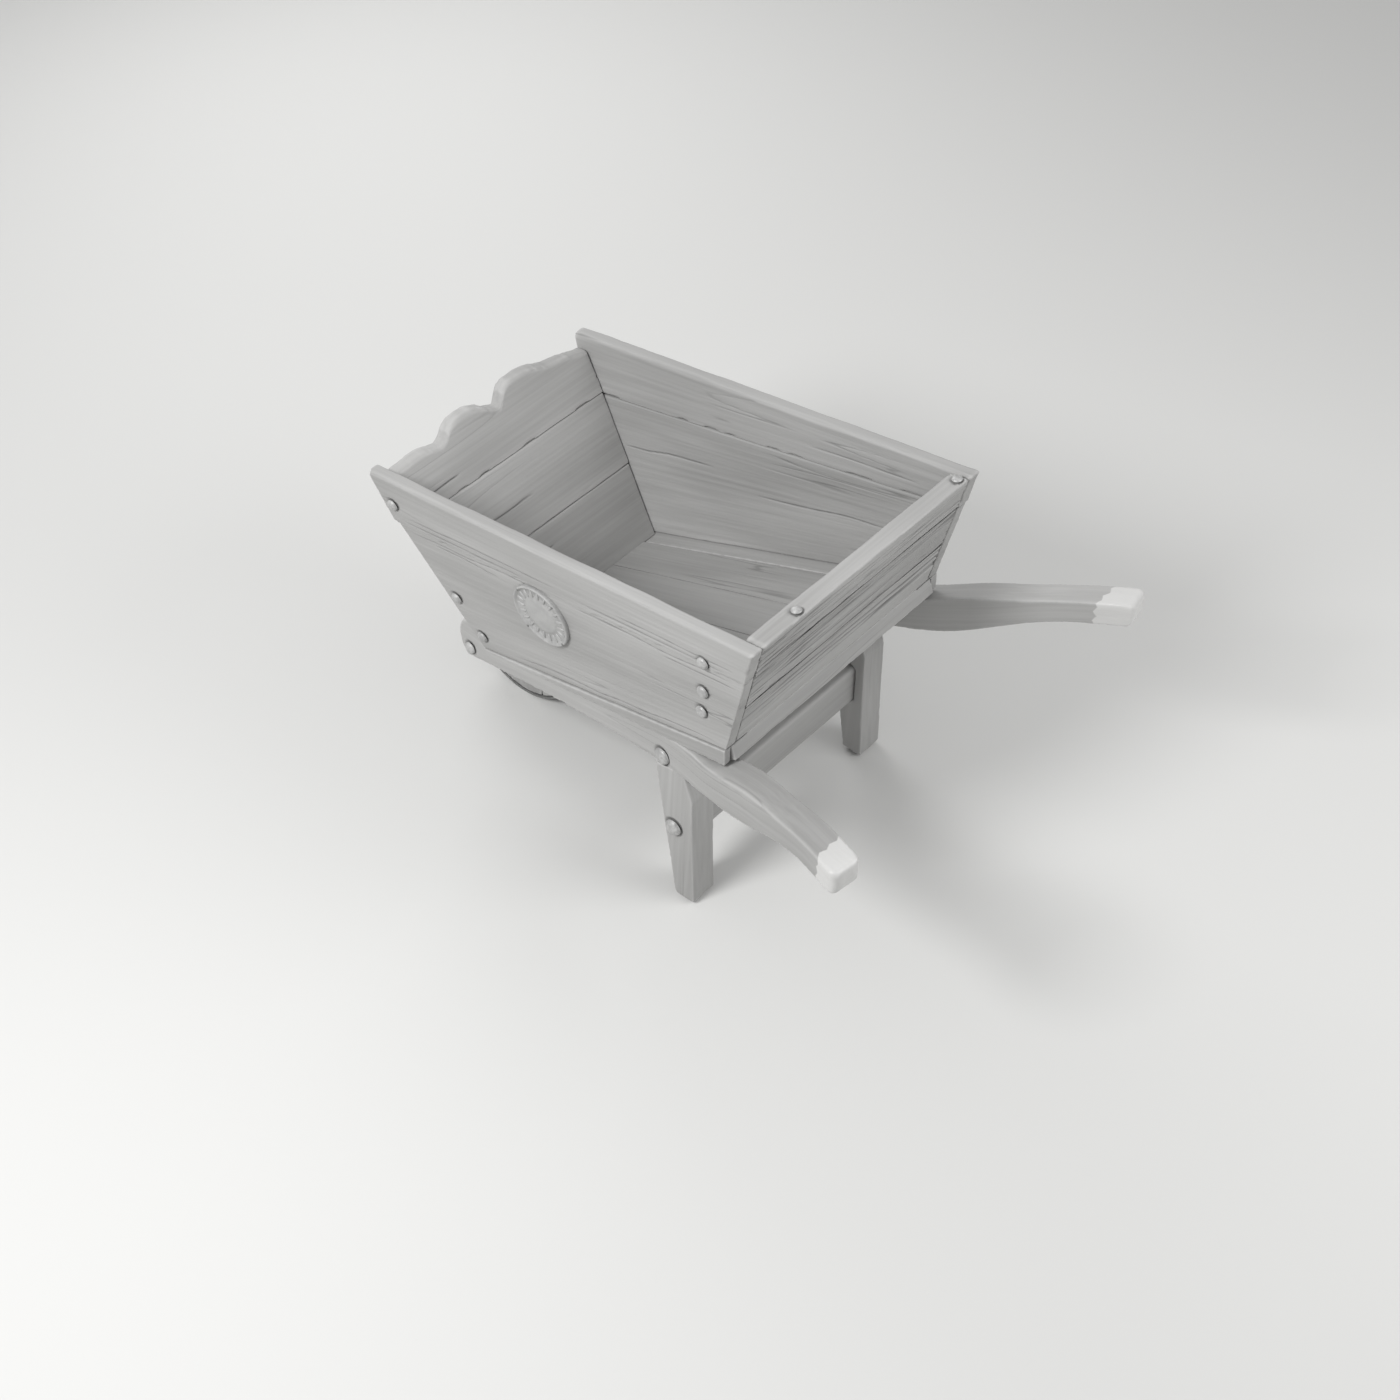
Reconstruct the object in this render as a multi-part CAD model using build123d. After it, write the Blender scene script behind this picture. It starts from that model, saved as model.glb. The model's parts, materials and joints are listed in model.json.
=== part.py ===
from build123d import *
import math
import os

# Wooden miner's wheelbarrow: a flared plank tray on two long curved rails that end in handles,
# two legs with a brace, and one broad solid wheel in wooden brackets under the tray's leaning front.
# Millimetres. +Z is up, +Y runs back to the handles, +X is the operator's left hand.
# The origin is on the ground under the middle of the whole barrow.

# ---- tray: the inner corners on the +X side, as (half width, y, z) ----
RIM_FRONT = Vector(282, -630, 686)
RIM_REAR = Vector(301, 299, 818)
FLOOR_FRONT = Vector(230, -388, 313)
FLOOR_REAR = Vector(290, 253, 523)

SIDE_BOARD = 28            # thickness of the side walls' lower boards
TOP_BOARD = 33             # the side walls' top boards stand proud of the lower ones
FRONT_BOARD = 24           # thickness of the leaning front wall
SIDE_JOINT = 0.70          # height of the joint between a side wall's boards, 0 floor to 1 rim
CROSS_JOINTS = (0.0, 0.36, 0.72, 1.0)   # joints of the front and rear walls
SIDE_FRONT_LAP = 0.062     # how far the side boards run past the front wall, in tray lengths
REAR_LAP_FLOOR = 0.037     # the rear wall is thicker at its rim than at the floor
REAR_LAP_RIM = 0.052
FRONT_FOOT = -0.008        # the front wall's foot is let 3 mm into the floor, in wall heights
CLEAT_THICK = 34
CLEAT_SPAN = (0.90, 0.998) # the corner cleats' reach along the walls, in tray lengths
CLEAT_FOOT, CLEAT_HEAD = 0.02, 0.5
FLOOR_BOARD = 20
FLOOR_PLANKS = 4
BOARD_GAP = 0.4            # play between the cross walls and the side walls

# ---- rails, sills and bolsters ----
RAIL_WIDTH = 60
RAIL_OUTER_FRONT = 245     # outer face of a rail, from the centre plane, at the toe
RAIL_TOE_Y = -482
RAIL_SPREAD = 0.0945       # sideways run of the rail for each millimetre back
SILL_FRONT = 6             # the side sills are wedges: thin at the front, thick at the rear
SILL_REAR = 40
SILL_PROUD = 4
SILL_PEG_Y = (-208, -48, 52)
REAR_SILL_DEPTH = 48
REAR_SILL_HEIGHT = 40
BOLSTER = 45
BOLSTER_WIDTH = 50
BOLSTER_Y = (-314, -169, 188)
HOUSING = 20               # how deep bolsters and sills are let into their neighbours

# ---- handles: (y, half-way x, width, underside z, top z) from the sill back to the grip's end ----
HANDLE = (
    (226, 302, 62, 385, 471),
    (346, 335, 66, 426, 517),
    (466, 376, 65, 491, 557),
    (566, 413, 67, 531, 588),
    (656, 449, 65, 549, 606),
)
GRIP_ROUND = 14

# ---- legs ----
LEG_INNER, LEG_OUTER = 236, 303
FOOT_FRONT, FOOT_REAR, FOOT_BEVEL = 131, 181, 7
LEG_BOLT = (101, 380)      # y, z of the bolt through rail and leg
BRACE_Y, BRACE_Z = 126, 200
BRACE_THICK, BRACE_HEIGHT = 52, 100
TENON_THICK = 22

# ---- wheel ----
AXLE_Y, WHEEL_RADIUS = -502, 148
WHEEL_WIDTH = 164
TYRE_THICK = 5
AXLE_RADIUS = 12
AXLE_PLAY = 0.05
BUSH_RADIUS = 28
HUB_PLATE_RADIUS, HUB_PLATE_THICK = 60, 5
WASHER_THICK = 4
SIDE_PLAY = 0.3
BRACKET_THICK = 36
BRACKET_NOSE = 42
MIDDLE_PLANK = 112
BRACKET_BOLTS = (120, 103)   # length of the bolt through the front and the middle bolster

# ---- fasteners ----
NAIL_HEAD, NAIL_DOME, NAIL_SHANK, NAIL_LENGTH = 13, 8, 3.5, 62
BOLT_HEAD, BOLT_DOME, BOLT_SHANK = 19, 11, 7
REAR_NAIL_HEAD, REAR_NAIL_DOME, REAR_NAIL_SHANK, REAR_NAIL_LENGTH = 11, 6, 3, 40
REAR_NAIL_X = (190, -284)
PEG_RADIUS, SILL_PEG_RADIUS = 5, 7

# ---- badge: a round plate on the left wall ----
BADGE_RADIUS, BADGE_THICK, BADGE_SEAT = 72, 8, 3
BADGE_RIM, BADGE_BOSS, BADGE_GROOVE = 7, 38, 2
BADGE_AT = (0.386, 0.49)   # share of the tray's length, share of the wall's height

PITCH = math.degrees(math.atan2(FLOOR_REAR.Z - FLOOR_FRONT.Z, FLOOR_REAR.Y - FLOOR_FRONT.Y))
SLOPE = math.tan(math.radians(PITCH))
UPRIGHT = 1 / math.cos(math.radians(PITCH))   # upright run through a board of unit thickness
FRONT_LEAN = (FLOOR_FRONT.Y - RIM_FRONT.Y) / (RIM_FRONT.Z - FLOOR_FRONT.Z)
YZ_OUTWARD = Plane(origin=(0, 0, 0), x_dir=(0, 1, 0), z_dir=(1, 0, 0))


# ======== shared helpers ========

def tray(s, v, outward=0.0):
    """Point of the +X wall: s is 0 at the front wall and 1 at the rear; v is 0 at the floor, 1 at the rim."""
    low = FLOOR_FRONT + (FLOOR_REAR - FLOOR_FRONT) * s
    high = RIM_FRONT + (RIM_REAR - RIM_FRONT) * s
    return low + (high - low) * v + Vector(outward, 0, 0)


def floor_z(y):
    """Height of the floor's top face, which is also the underside of the walls."""
    return FLOOR_FRONT.Z + SLOPE * (y - FLOOR_FRONT.Y)


def rail_outer(y):
    return RAIL_OUTER_FRONT + RAIL_SPREAD * (y - RAIL_TOE_Y)


def rail_top(y):
    """Height of the rail's top face, which is the underside of the wedge-shaped side sill."""
    share = (y - FLOOR_FRONT.Y) / (FLOOR_REAR.Y - FLOOR_FRONT.Y)
    return floor_z(y) - (SILL_FRONT + (SILL_REAR - SILL_FRONT) * share)


def flipped(point):
    return Vector(-point.X, point.Y, point.Z)


def board(first_end, last_end):
    """Straight-sided board between two four-cornered ends; its faces may be slightly twisted."""
    ends = [Wire.make_polygon(corners, close=True) for corners in (first_end, last_end)]
    return Solid.make_loft(ends, ruled=True)


def mirrored(shape):
    return mirror(shape, about=Plane.YZ)


def on_floor(x, y, above=0.0):
    """Place on the floor's top face, with Z square to the floor."""
    return Location((x, y, floor_z(y)), (PITCH, 0, 0)) * Location((0, 0, above))


def on_wall(s, v, thickness):
    """Place on the outer face of the +X wall, with Z pointing outwards."""
    step = 0.01
    along = tray(s + step, v) - tray(s - step, v)
    up = tray(s, v + step) - tray(s, v - step)
    return Location(Plane(origin=tray(s, v, thickness), x_dir=along, z_dir=along.cross(up)))


def on_rail(y, z):
    """Place on the outer face of the +X rail, with Z pointing outwards."""
    normal = Vector(1, -RAIL_SPREAD, 0)
    return Location(Plane(origin=(rail_outer(y), y, z), x_dir=(0, 0, 1), z_dir=normal))


def domed_pin(head_radius, dome, shank_radius, length):
    """Hand-forged nail or bolt: a domed head above Z = 0 and its shank below."""
    ball = (head_radius ** 2 + dome ** 2) / (2 * dome)
    head = Pos(0, 0, dome - ball) * Sphere(ball)
    head &= Pos(0, 0, dome / 2) * Cylinder(head_radius, dome)
    return head + Pos(0, 0, -length / 2) * Cylinder(shank_radius, length)


def cut(body, *tools):
    for tool in tools:
        body = body - tool
    return body


def group(*solids):
    return Compound(children=[piece for shape in solids for piece in shape.solids()])


parts = {}


def both(name, shape):
    """Files a piece of the +X side and its mirror image."""
    parts["left_" + name] = shape
    parts["right_" + name] = mirrored(shape)


# ======== fasteners that the timber is drilled for ========

# The front nails bite the front wall's ends and the rear ones the corner cleats. Above the cleat there
# is nothing behind the board, so the nail there is a short one that stays inside it.
nail = domed_pin(NAIL_HEAD, NAIL_DOME, NAIL_SHANK, NAIL_LENGTH)
short_nail = domed_pin(NAIL_HEAD, NAIL_DOME, NAIL_SHANK, TOP_BOARD - 4)
board_nails = [on_wall(-0.018, v, SIDE_BOARD) * nail for v in (0.085, 0.305)]
board_nails += [on_wall(-0.015, 0.827, TOP_BOARD) * nail]
board_nails += [on_wall(0.93, v, SIDE_BOARD) * nail for v in (0.276, 0.461)]
board_nails += [on_wall(0.93, 0.739, TOP_BOARD) * short_nail]

leg_bolt_length = RAIL_WIDTH + 16
leg_bolt_place = on_rail(*LEG_BOLT)
leg_bolt = leg_bolt_place * domed_pin(BOLT_HEAD, BOLT_DOME, BOLT_SHANK, leg_bolt_length)
leg_washer = leg_bolt_place * Pos(0, 0, -RAIL_WIDTH - 3.5)
leg_washer *= Cylinder(16, 3) - Cylinder(BOLT_SHANK, 3)
leg_nut = leg_bolt_place * Pos(0, 0, -RAIL_WIDTH - 10)
leg_nut *= Box(24, 24, 9) - Cylinder(BOLT_SHANK, 9)

brace_bolt_place = Location(Plane(origin=(LEG_OUTER, BRACE_Y + 4, BRACE_Z), x_dir=(0, 1, 0), z_dir=(1, 0, 0)))
brace_bolt = brace_bolt_place * domed_pin(BOLT_HEAD, BOLT_DOME, BOLT_SHANK, 150)

rivet_length = RAIL_WIDTH + 3
toe_rivet_place = on_rail(RAIL_TOE_Y + 4, 262)
toe_rivet = toe_rivet_place * domed_pin(NAIL_HEAD + 1, NAIL_DOME, 4.5, rivet_length)
toe_rove = toe_rivet_place * Pos(0, 0, -RAIL_WIDTH - 1.5) * (Cylinder(13, 3) - Cylinder(4.5, 3))


# ======== tray walls ========

def side_board(v_low, v_high, thickness, front_low, front_high, rear_low, rear_high):
    def end(s_low, s_high):
        return [tray(s_low, v_low), tray(s_high, v_high),
                tray(s_high, v_high, thickness), tray(s_low, v_low, thickness)]
    return board(end(-front_low, -front_high), end(1 + rear_low, 1 + rear_high))


rear_lap_joint = REAR_LAP_FLOOR + (REAR_LAP_RIM - REAR_LAP_FLOOR) * SIDE_JOINT
lower_laps = (SIDE_FRONT_LAP, SIDE_FRONT_LAP, REAR_LAP_FLOOR, rear_lap_joint)
lower_board = side_board(0, SIDE_JOINT, SIDE_BOARD, *lower_laps)
top_board = side_board(SIDE_JOINT, 1, TOP_BOARD, 0.066, 0.035, rear_lap_joint, REAR_LAP_RIM)

# The badge is a round plate let into the left wall's lower board.
badge_place = on_wall(*BADGE_AT, SIDE_BOARD)
badge = Pos(0, 0, (BADGE_THICK - BADGE_SEAT) / 2) * Cylinder(BADGE_RADIUS, BADGE_THICK + BADGE_SEAT)
groove = Cylinder(BADGE_RADIUS - BADGE_RIM, 2 * BADGE_GROOVE) - Cylinder(BADGE_BOSS, 2 * BADGE_GROOVE)
badge -= Pos(0, 0, BADGE_THICK) * groove
badge = badge_place * badge
badge_pin = domed_pin(3, 1.6, 1.6, 26)
badge_pin = Pos(BADGE_RADIUS - BADGE_RIM / 2, 0, BADGE_THICK) * badge_pin
badge_pins = [badge_place * Rot(0, 0, 40 + 90 * k) * badge_pin for k in range(4)]

parts["left_lower_board"] = cut(lower_board, badge, *badge_pins, *board_nails)
parts["left_top_board"] = cut(top_board, *board_nails)
parts["right_lower_board"] = mirrored(cut(lower_board, *board_nails))
parts["right_top_board"] = mirrored(cut(top_board, *board_nails))
parts["badge"] = cut(badge, *badge_pins)
parts["badge_pins"] = group(*badge_pins)


def cross_section(v, s_inner, s_outer):
    """Four corners of a cross wall at height v, symmetric about the centre plane."""
    inner = tray(s_inner, v, -BOARD_GAP)
    outer = tray(s_outer, v, -BOARD_GAP)
    return [inner, outer, flipped(outer), flipped(inner)]


def front_lap(v):
    run = FRONT_BOARD * math.hypot(1, FRONT_LEAN)
    length = (tray(1, v) - tray(0, v)).Y
    return -run / length


def rear_lap(v):
    return 1 + REAR_LAP_FLOOR + (REAR_LAP_RIM - REAR_LAP_FLOOR) * v


# The front wall's worn top edge: (x, height above the rim line) from left to right.
WORN_EDGE = ((300, -12), (243, -18), (204, -16), (140, -24), (118, -12), (81, 2), (22, -12), (-22, -25),
             (-50, -2), (-98, 4), (-134, -2), (-165, -12), (-204, -15), (-255, -26), (-300, -24))
edge_line = Spline(*[(x, RIM_FRONT.Z + rise) for x, rise in WORN_EDGE])
above = Polyline(edge_line @ 1, (-300, 800), (300, 800), edge_line @ 0)
worn_away = extrude(Plane.XZ * make_face([edge_line, above]), amount=800)

for name, v_low, v_high in zip(("lower", "middle", "top"), CROSS_JOINTS, CROSS_JOINTS[1:]):
    reach = 1.09 if name == "top" else v_high
    foot = FRONT_FOOT if name == "lower" else v_low
    wall = board(cross_section(foot, 0, front_lap(foot)), cross_section(reach, 0, front_lap(reach)))
    if name == "top":
        wall = wall - worn_away
    sides = board_nails + [mirrored(n) for n in board_nails]
    parts[f"front_{name}_board"] = cut(wall, *sides)
    wall = board(cross_section(v_low, 1, rear_lap(v_low)), cross_section(v_high, 1, rear_lap(v_high)))
    parts[f"rear_{name}_board"] = wall

rear_top_middle = tray(1 + REAR_LAP_RIM / 2, 1)
rear_nail = domed_pin(REAR_NAIL_HEAD, REAR_NAIL_DOME, REAR_NAIL_SHANK, REAR_NAIL_LENGTH)
rear_nails = [Location((x, rear_top_middle.Y + 4, rear_top_middle.Z + 1), (8, 0, 0)) * rear_nail
              for x in REAR_NAIL_X]
parts["rear_top_board"] = cut(parts["rear_top_board"], *rear_nails)
parts["rear_rim_nails"] = group(*rear_nails)



def cleat_section(v):
    front, rear = CLEAT_SPAN
    return [tray(front, v), tray(rear, v), tray(rear, v, -CLEAT_THICK), tray(front, v, -CLEAT_THICK)]


cleat = board(cleat_section(CLEAT_FOOT), cleat_section(CLEAT_HEAD))
both("rear_cleat", cut(cleat, lower_board, *board_nails))
parts["left_board_nails"] = group(*board_nails)
parts["right_board_nails"] = group(*[mirrored(n) for n in board_nails])


# ======== floor, sills and bolsters ========

def sill_inner(y):
    return rail_outer(y) - RAIL_WIDTH


floor_front = tray(front_lap(0), 0).Y
sill_front = tray(-SIDE_FRONT_LAP, 0).Y
sill_rear = tray(rear_lap(0), 0).Y


def bolster_solid(y):
    half = sill_inner(y) + HOUSING
    return on_floor(0, y, -FLOOR_BOARD - BOLSTER / 2) * Box(2 * half, BOLSTER_WIDTH, BOLSTER)


bolsters = [bolster_solid(y) for y in BOLSTER_Y]


def floor_plank(k):
    """One of the floor's planks; they are as wide as the gap between the rails and narrow to the front."""
    low, high = (-1 + 2 * k / FLOOR_PLANKS, -1 + 2 * (k + 1) / FLOOR_PLANKS)
    rear = FLOOR_REAR.Y
    outline = [Vector(share * (sill_inner(y) - BOARD_GAP), y, floor_z(y))
               for share, y in ((low, floor_front), (high, floor_front), (high, rear), (low, rear))]
    down = Vector(0, math.sin(math.radians(PITCH)), -math.cos(math.radians(PITCH)))
    return extrude(make_face(Polyline(*outline, close=True)), amount=FLOOR_BOARD, dir=down)


planks = [floor_plank(k) for k in range(FLOOR_PLANKS)]

# Wooden pegs hold the planks down; they stop short of the floor's top face.
peg = Cylinder(PEG_RADIUS, 34)
pegs = []
for k in range(FLOOR_PLANKS):
    share = -1 + (2 * k + 1) / FLOOR_PLANKS
    pegs += [on_floor(share * sill_inner(y), y, -FLOOR_BOARD - 4) * peg for y in BOLSTER_Y]


def sill_section(y):
    outer = tray((y - FLOOR_FRONT.Y) / (FLOOR_REAR.Y - FLOOR_FRONT.Y), 0, SIDE_BOARD + SILL_PROUD).X
    inner, top, under = sill_inner(y), floor_z(y), rail_top(y)
    return [Vector(inner, y, top), Vector(outer, y, top), Vector(outer, y, under), Vector(inner, y, under)]


rear_sill_half = tray(1, 0, SIDE_BOARD).X - 14
rear_sill = on_floor(0, sill_rear - REAR_SILL_DEPTH / 2, -REAR_SILL_HEIGHT / 2 / UPRIGHT)
rear_sill *= Box(2 * rear_sill_half, REAR_SILL_DEPTH * 0.95, REAR_SILL_HEIGHT / UPRIGHT)
side_sill = cut(board(sill_section(sill_front), sill_section(sill_rear)), rear_sill, *bolsters)
rear_sill = cut(rear_sill, *planks)

sill_pegs = []
for y in SILL_PEG_Y:
    above, below = (floor_z(y) - rail_top(y)) * 0.7, 26
    peg_solid = Pos(0, 0, (above - below) / 2) * Cylinder(SILL_PEG_RADIUS, above + below)
    sill_pegs.append(Location((rail_outer(y) - RAIL_WIDTH / 2, y, rail_top(y)), (PITCH, 0, 0)) * peg_solid)

front_foot = parts["front_lower_board"]
for k, plank in enumerate(planks):
    parts[f"floor_plank_{k + 1}"] = cut(plank, *pegs, front_foot)
parts["floor_pegs"] = group(*pegs)
both("sill", cut(side_sill, *sill_pegs, front_foot))
parts["rear_sill"] = rear_sill
parts["sill_pegs"] = group(*sill_pegs, *[mirrored(p) for p in sill_pegs])


# ======== rails with their handles ========

def rail_profile():
    """Side view of a rail, in y and z."""
    tops = [(y, top) for y, _, _, _, top in HANDLE]
    unders = [(y, under) for y, _, _, under, _ in HANDLE]
    seat_front = sill_front - 4
    seat_rear = 192
    toe_foot, toe_head = rail_top(seat_front), 336
    toe_lean = (toe_head - toe_foot) * FRONT_LEAN
    end_y = HANDLE[-1][0] + 36
    top_curve = Spline((seat_rear, rail_top(seat_rear)), *tops, (end_y, 610),
                       tangents=[(1, SLOPE * 0.84), (1, 0.15)])
    under_curve = Spline((-490, 232), (-402, 256), (-199, 306), (-68, 331), (79, 355), *unders, (end_y, 560))
    seat = Line((seat_rear, rail_top(seat_rear)), (seat_front, toe_foot))
    toe = Polyline((seat_front, toe_foot), (seat_front - toe_lean, toe_head), (-488, toe_head))
    nose = Spline((-488, toe_head), (-514, 296), (-511, 262), (-490, 232))
    end = Line((end_y, 610), (end_y, 560))
    return make_face([top_curve, seat, toe, nose, under_curve, end])


def rail_plan():
    """Plan of a rail, in x and y."""
    outer = [(mid + width / 2, y) for y, mid, width, _, _ in HANDLE]
    inner = [(mid - width / 2, y) for y, mid, width, _, _ in HANDLE]
    bend_y, front_y, end_y = 62, -528, HANDLE[-1][0]
    outer_line = Line((rail_outer(front_y), front_y), (rail_outer(bend_y), bend_y))
    outer_curve = Spline((rail_outer(bend_y), bend_y), *outer, tangents=[(RAIL_SPREAD, 1), (0.32, 1)])
    inner_line = Line((sill_inner(front_y), front_y), (sill_inner(bend_y), bend_y))
    inner_tail = [(x - 2, y) for x, y in inner[:-1]] + [(inner[-1][0] + 1, end_y + 10.1)]
    inner_curve = Spline((sill_inner(bend_y), bend_y), *inner_tail, tangents=[(RAIL_SPREAD, 1), (0.40, 1)])
    front = Line(inner_line @ 0, outer_line @ 0)
    rear = Line(outer_curve @ 1, inner_curve @ 1)
    return make_face([outer_line, outer_curve, rear, inner_curve, inner_line, front])


rail_band = extrude(YZ_OUTWARD * rail_profile(), amount=560)
rail = rail_band & extrude(rail_plan(), amount=760)
rail_end = rail.edges().filter_by_position(Axis.Y, HANDLE[-1][0] - 4, HANDLE[-1][0] + 16)
rail = fillet(rail_end, GRIP_ROUND)

tenon = Pos((LEG_INNER + LEG_OUTER) / 2, 118, 380) * Box(TENON_THICK, 56, 60)
leg_outline = Polyline((FOOT_FRONT, 0), (FOOT_REAR, 0), (178, 150), (177, 295), (154, 372), (80, 372),
                       close=True)
leg = Pos(LEG_INNER, 0, 0) * extrude(YZ_OUTWARD * make_face(leg_outline), amount=LEG_OUTER - LEG_INNER)
leg = chamfer(leg.faces().sort_by(Axis.Z)[0].edges(), FOOT_BEVEL)
leg = leg - rail_band + (tenon & rail)
brace_half = LEG_INNER + HOUSING
brace = Pos(0, BRACE_Y, BRACE_Z) * Box(2 * brace_half, BRACE_THICK, BRACE_HEIGHT)
brace = fillet(brace.edges().filter_by(Axis.X), 9)
leg = cut(leg, brace, leg_bolt, brace_bolt)
brace = cut(brace, brace_bolt, mirrored(brace_bolt))
rail = cut(rail, tenon, leg_bolt, toe_rivet, side_sill, rear_sill, *sill_pegs, *bolsters)

both("rail", rail)
both("leg", leg)
parts["leg_brace"] = brace
parts["leg_bolts"] = group(leg_bolt, mirrored(leg_bolt))
parts["leg_bolt_washers"] = group(leg_washer, mirrored(leg_washer))
parts["leg_bolt_nuts"] = group(leg_nut, mirrored(leg_nut))
parts["brace_bolts"] = group(brace_bolt, mirrored(brace_bolt))
parts["rail_toe_rivets"] = group(toe_rivet, mirrored(toe_rivet))
parts["rivet_roves"] = group(toe_rove, mirrored(toe_rove))


# ======== wheel ========

def across(x, shape):
    """Turns a shape's Z onto the axle line and moves it to x."""
    return Location(Plane(origin=(x, AXLE_Y, WHEEL_RADIUS), x_dir=(0, 1, 0), z_dir=(1, 0, 0))) * shape


half_wheel = WHEEL_WIDTH / 2
bush_half = half_wheel + HUB_PLATE_THICK
disc = across(0, Cylinder(WHEEL_RADIUS - TYRE_THICK, WHEEL_WIDTH) - Cylinder(BUSH_RADIUS, WHEEL_WIDTH))
dowel = Location((0, AXLE_Y, WHEEL_RADIUS), (90, 0, 0)) * Cylinder(7, 200)
dowels = [Pos(0, 0, rise) * dowel for rise in (-82, 82)]
ring = Cylinder(WHEEL_RADIUS, WHEEL_WIDTH) - Cylinder(WHEEL_RADIUS - TYRE_THICK, WHEEL_WIDTH)
tyre_nail = Cylinder(4.5, 34)
tyre_nails = [across(0, Rot(0, 0, 22.5 + 45 * k) * Pos(WHEEL_RADIUS - 18, 0, 0) * Rot(0, 90, 0) * tyre_nail)
              for k in range(8)]
hub_plate = Cylinder(HUB_PLATE_RADIUS, HUB_PLATE_THICK) - Cylinder(BUSH_RADIUS, HUB_PLATE_THICK)
plate_x = half_wheel + HUB_PLATE_THICK / 2
hub_nail = domed_pin(4, 0.6, 2.5, 30)
hub_nails = [across(bush_half - 0.5, Rot(0, 0, 45 + 90 * k) * Pos(46, 0, 0) * hub_nail) for k in range(4)]
hub_nails = [Pos(-0.3, 0, 0) * pin for pin in hub_nails]
bush = across(0, Cylinder(BUSH_RADIUS, 2 * bush_half) - Cylinder(AXLE_RADIUS + AXLE_PLAY, 2 * bush_half))

wheel_cuts = dowels + tyre_nails + hub_nails + [mirrored(pin) for pin in hub_nails]
far = 2 * WHEEL_RADIUS
for name, centre, width in (("front", -MIDDLE_PLANK / 2 - far / 2, far), ("middle", 0, MIDDLE_PLANK),
                            ("rear", MIDDLE_PLANK / 2 + far / 2, far)):
    slab = Pos(0, AXLE_Y + centre, WHEEL_RADIUS) * Box(WHEEL_WIDTH, width, 2 * far)
    parts[f"wheel_plank_{name}"] = cut(disc & slab, *wheel_cuts)
parts["wheel_dowels"] = group(*dowels)
parts["wheel_tyre"] = cut(across(0, ring), *tyre_nails)
parts["tyre_nails"] = group(*tyre_nails)
for name, side in (("left", 1), ("right", -1)):
    pins = hub_nails if side > 0 else [mirrored(pin) for pin in hub_nails]
    parts[f"{name}_hub_plate"] = cut(across(side * plate_x, hub_plate), *pins)
parts["hub_plate_nails"] = group(*hub_nails, *[mirrored(pin) for pin in hub_nails])
parts["hub_bush"] = bush


# ======== axle, brackets and what holds them ========

inner_washer_x = bush_half + SIDE_PLAY + WASHER_THICK / 2
bracket_inner = bush_half + 2 * SIDE_PLAY + WASHER_THICK
bracket_outer = bracket_inner + BRACKET_THICK
outer_washer_x = bracket_outer + WASHER_THICK / 2
axle_end = bracket_outer + WASHER_THICK + 20
pin_x = bracket_outer + WASHER_THICK + 6

bracket_front, bracket_rear = BOLSTER_Y[0] - 35, BOLSTER_Y[1] + 35
under_bolster = (FLOOR_BOARD + BOLSTER) * UPRIGHT
nose = Pos(AXLE_Y, WHEEL_RADIUS) * Circle(BRACKET_NOSE)
arm = Polyline((bracket_front, floor_z(bracket_front) - under_bolster),
               (bracket_rear, floor_z(bracket_rear) - under_bolster),
               (bracket_rear, floor_z(bracket_rear) - under_bolster - 58), close=True)
bracket_outline = make_hull(nose.edges() + arm.edges())
bracket = Pos(bracket_inner, 0, 0) * extrude(YZ_OUTWARD * bracket_outline, amount=BRACKET_THICK)
bracket = bracket - across(0, Cylinder(AXLE_RADIUS + 0.1, 400))

axle = across(0, Cylinder(AXLE_RADIUS, 2 * axle_end))
axle_pin = Pos(pin_x, AXLE_Y, WHEEL_RADIUS) * Cylinder(4, 44)
washer = Cylinder(24, WASHER_THICK) - Cylinder(AXLE_RADIUS + 0.1, WASHER_THICK)
washers = [across(side * x, washer) for x in (inner_washer_x, outer_washer_x) for side in (1, -1)]
axle_pins = [axle_pin, mirrored(axle_pin)]

bracket_x = (bracket_inner + bracket_outer) / 2
bracket_bolts, bracket_nuts, nut_seats = [], [], []
for y, length in zip(BOLSTER_Y, BRACKET_BOLTS):
    place = on_floor(bracket_x, y, -FLOOR_BOARD - 8)
    shank = Pos(0, 0, -length / 2) * Cylinder(5, length)
    bracket_bolts.append(place * (shank + Pos(0, 0, 3) * Cylinder(11, 6)))
    bracket_nuts.append(place * Pos(0, 0, 6 - length) * (Box(18, 18, 8) - Cylinder(5, 8)))
    nut_seats.append(place * Pos(0, 0, -length - 8) * Cylinder(15, 36))

bracket = cut(bracket, *bracket_bolts, *nut_seats)
for name, solid in zip(("front", "middle", "rear"), bolsters):
    parts[f"{name}_bolster"] = cut(solid, *pegs, *bracket_bolts, *[mirrored(bolt) for bolt in bracket_bolts])
both("axle_bracket", bracket)
parts["axle"] = cut(axle, *axle_pins)
parts["axle_pins"] = group(*axle_pins)
parts["axle_washers"] = group(*washers)
parts["bracket_bolts"] = group(*bracket_bolts, *[mirrored(bolt) for bolt in bracket_bolts])
parts["bracket_nuts"] = group(*bracket_nuts, *[mirrored(nut) for nut in bracket_nuts])


# ======== write one file per piece ========

os.makedirs("parts", exist_ok=True)
for name, shape in parts.items():
    export_step(shape, f"parts/{name}.step")
print(len(parts), "pieces written")
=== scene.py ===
# %% [markdown]
# # A miner's timber wheelbarrow
# The barrow is a flared plank tray on two long rails that end in grips, with two legs, a cross brace
# and one broad solid wheel. The solid model already holds every size and place. This lesson gives its
# timber the look of hand-hewn, weathered wood, its nails the look of forged iron, and its badge a
# turned relief. Nothing is moved: each new piece is grown out of the solid that it stands for.

# %% Load the solid model
import json
import math

import bmesh
import bpy
import numpy as np
from mathutils import Matrix, Vector

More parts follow.
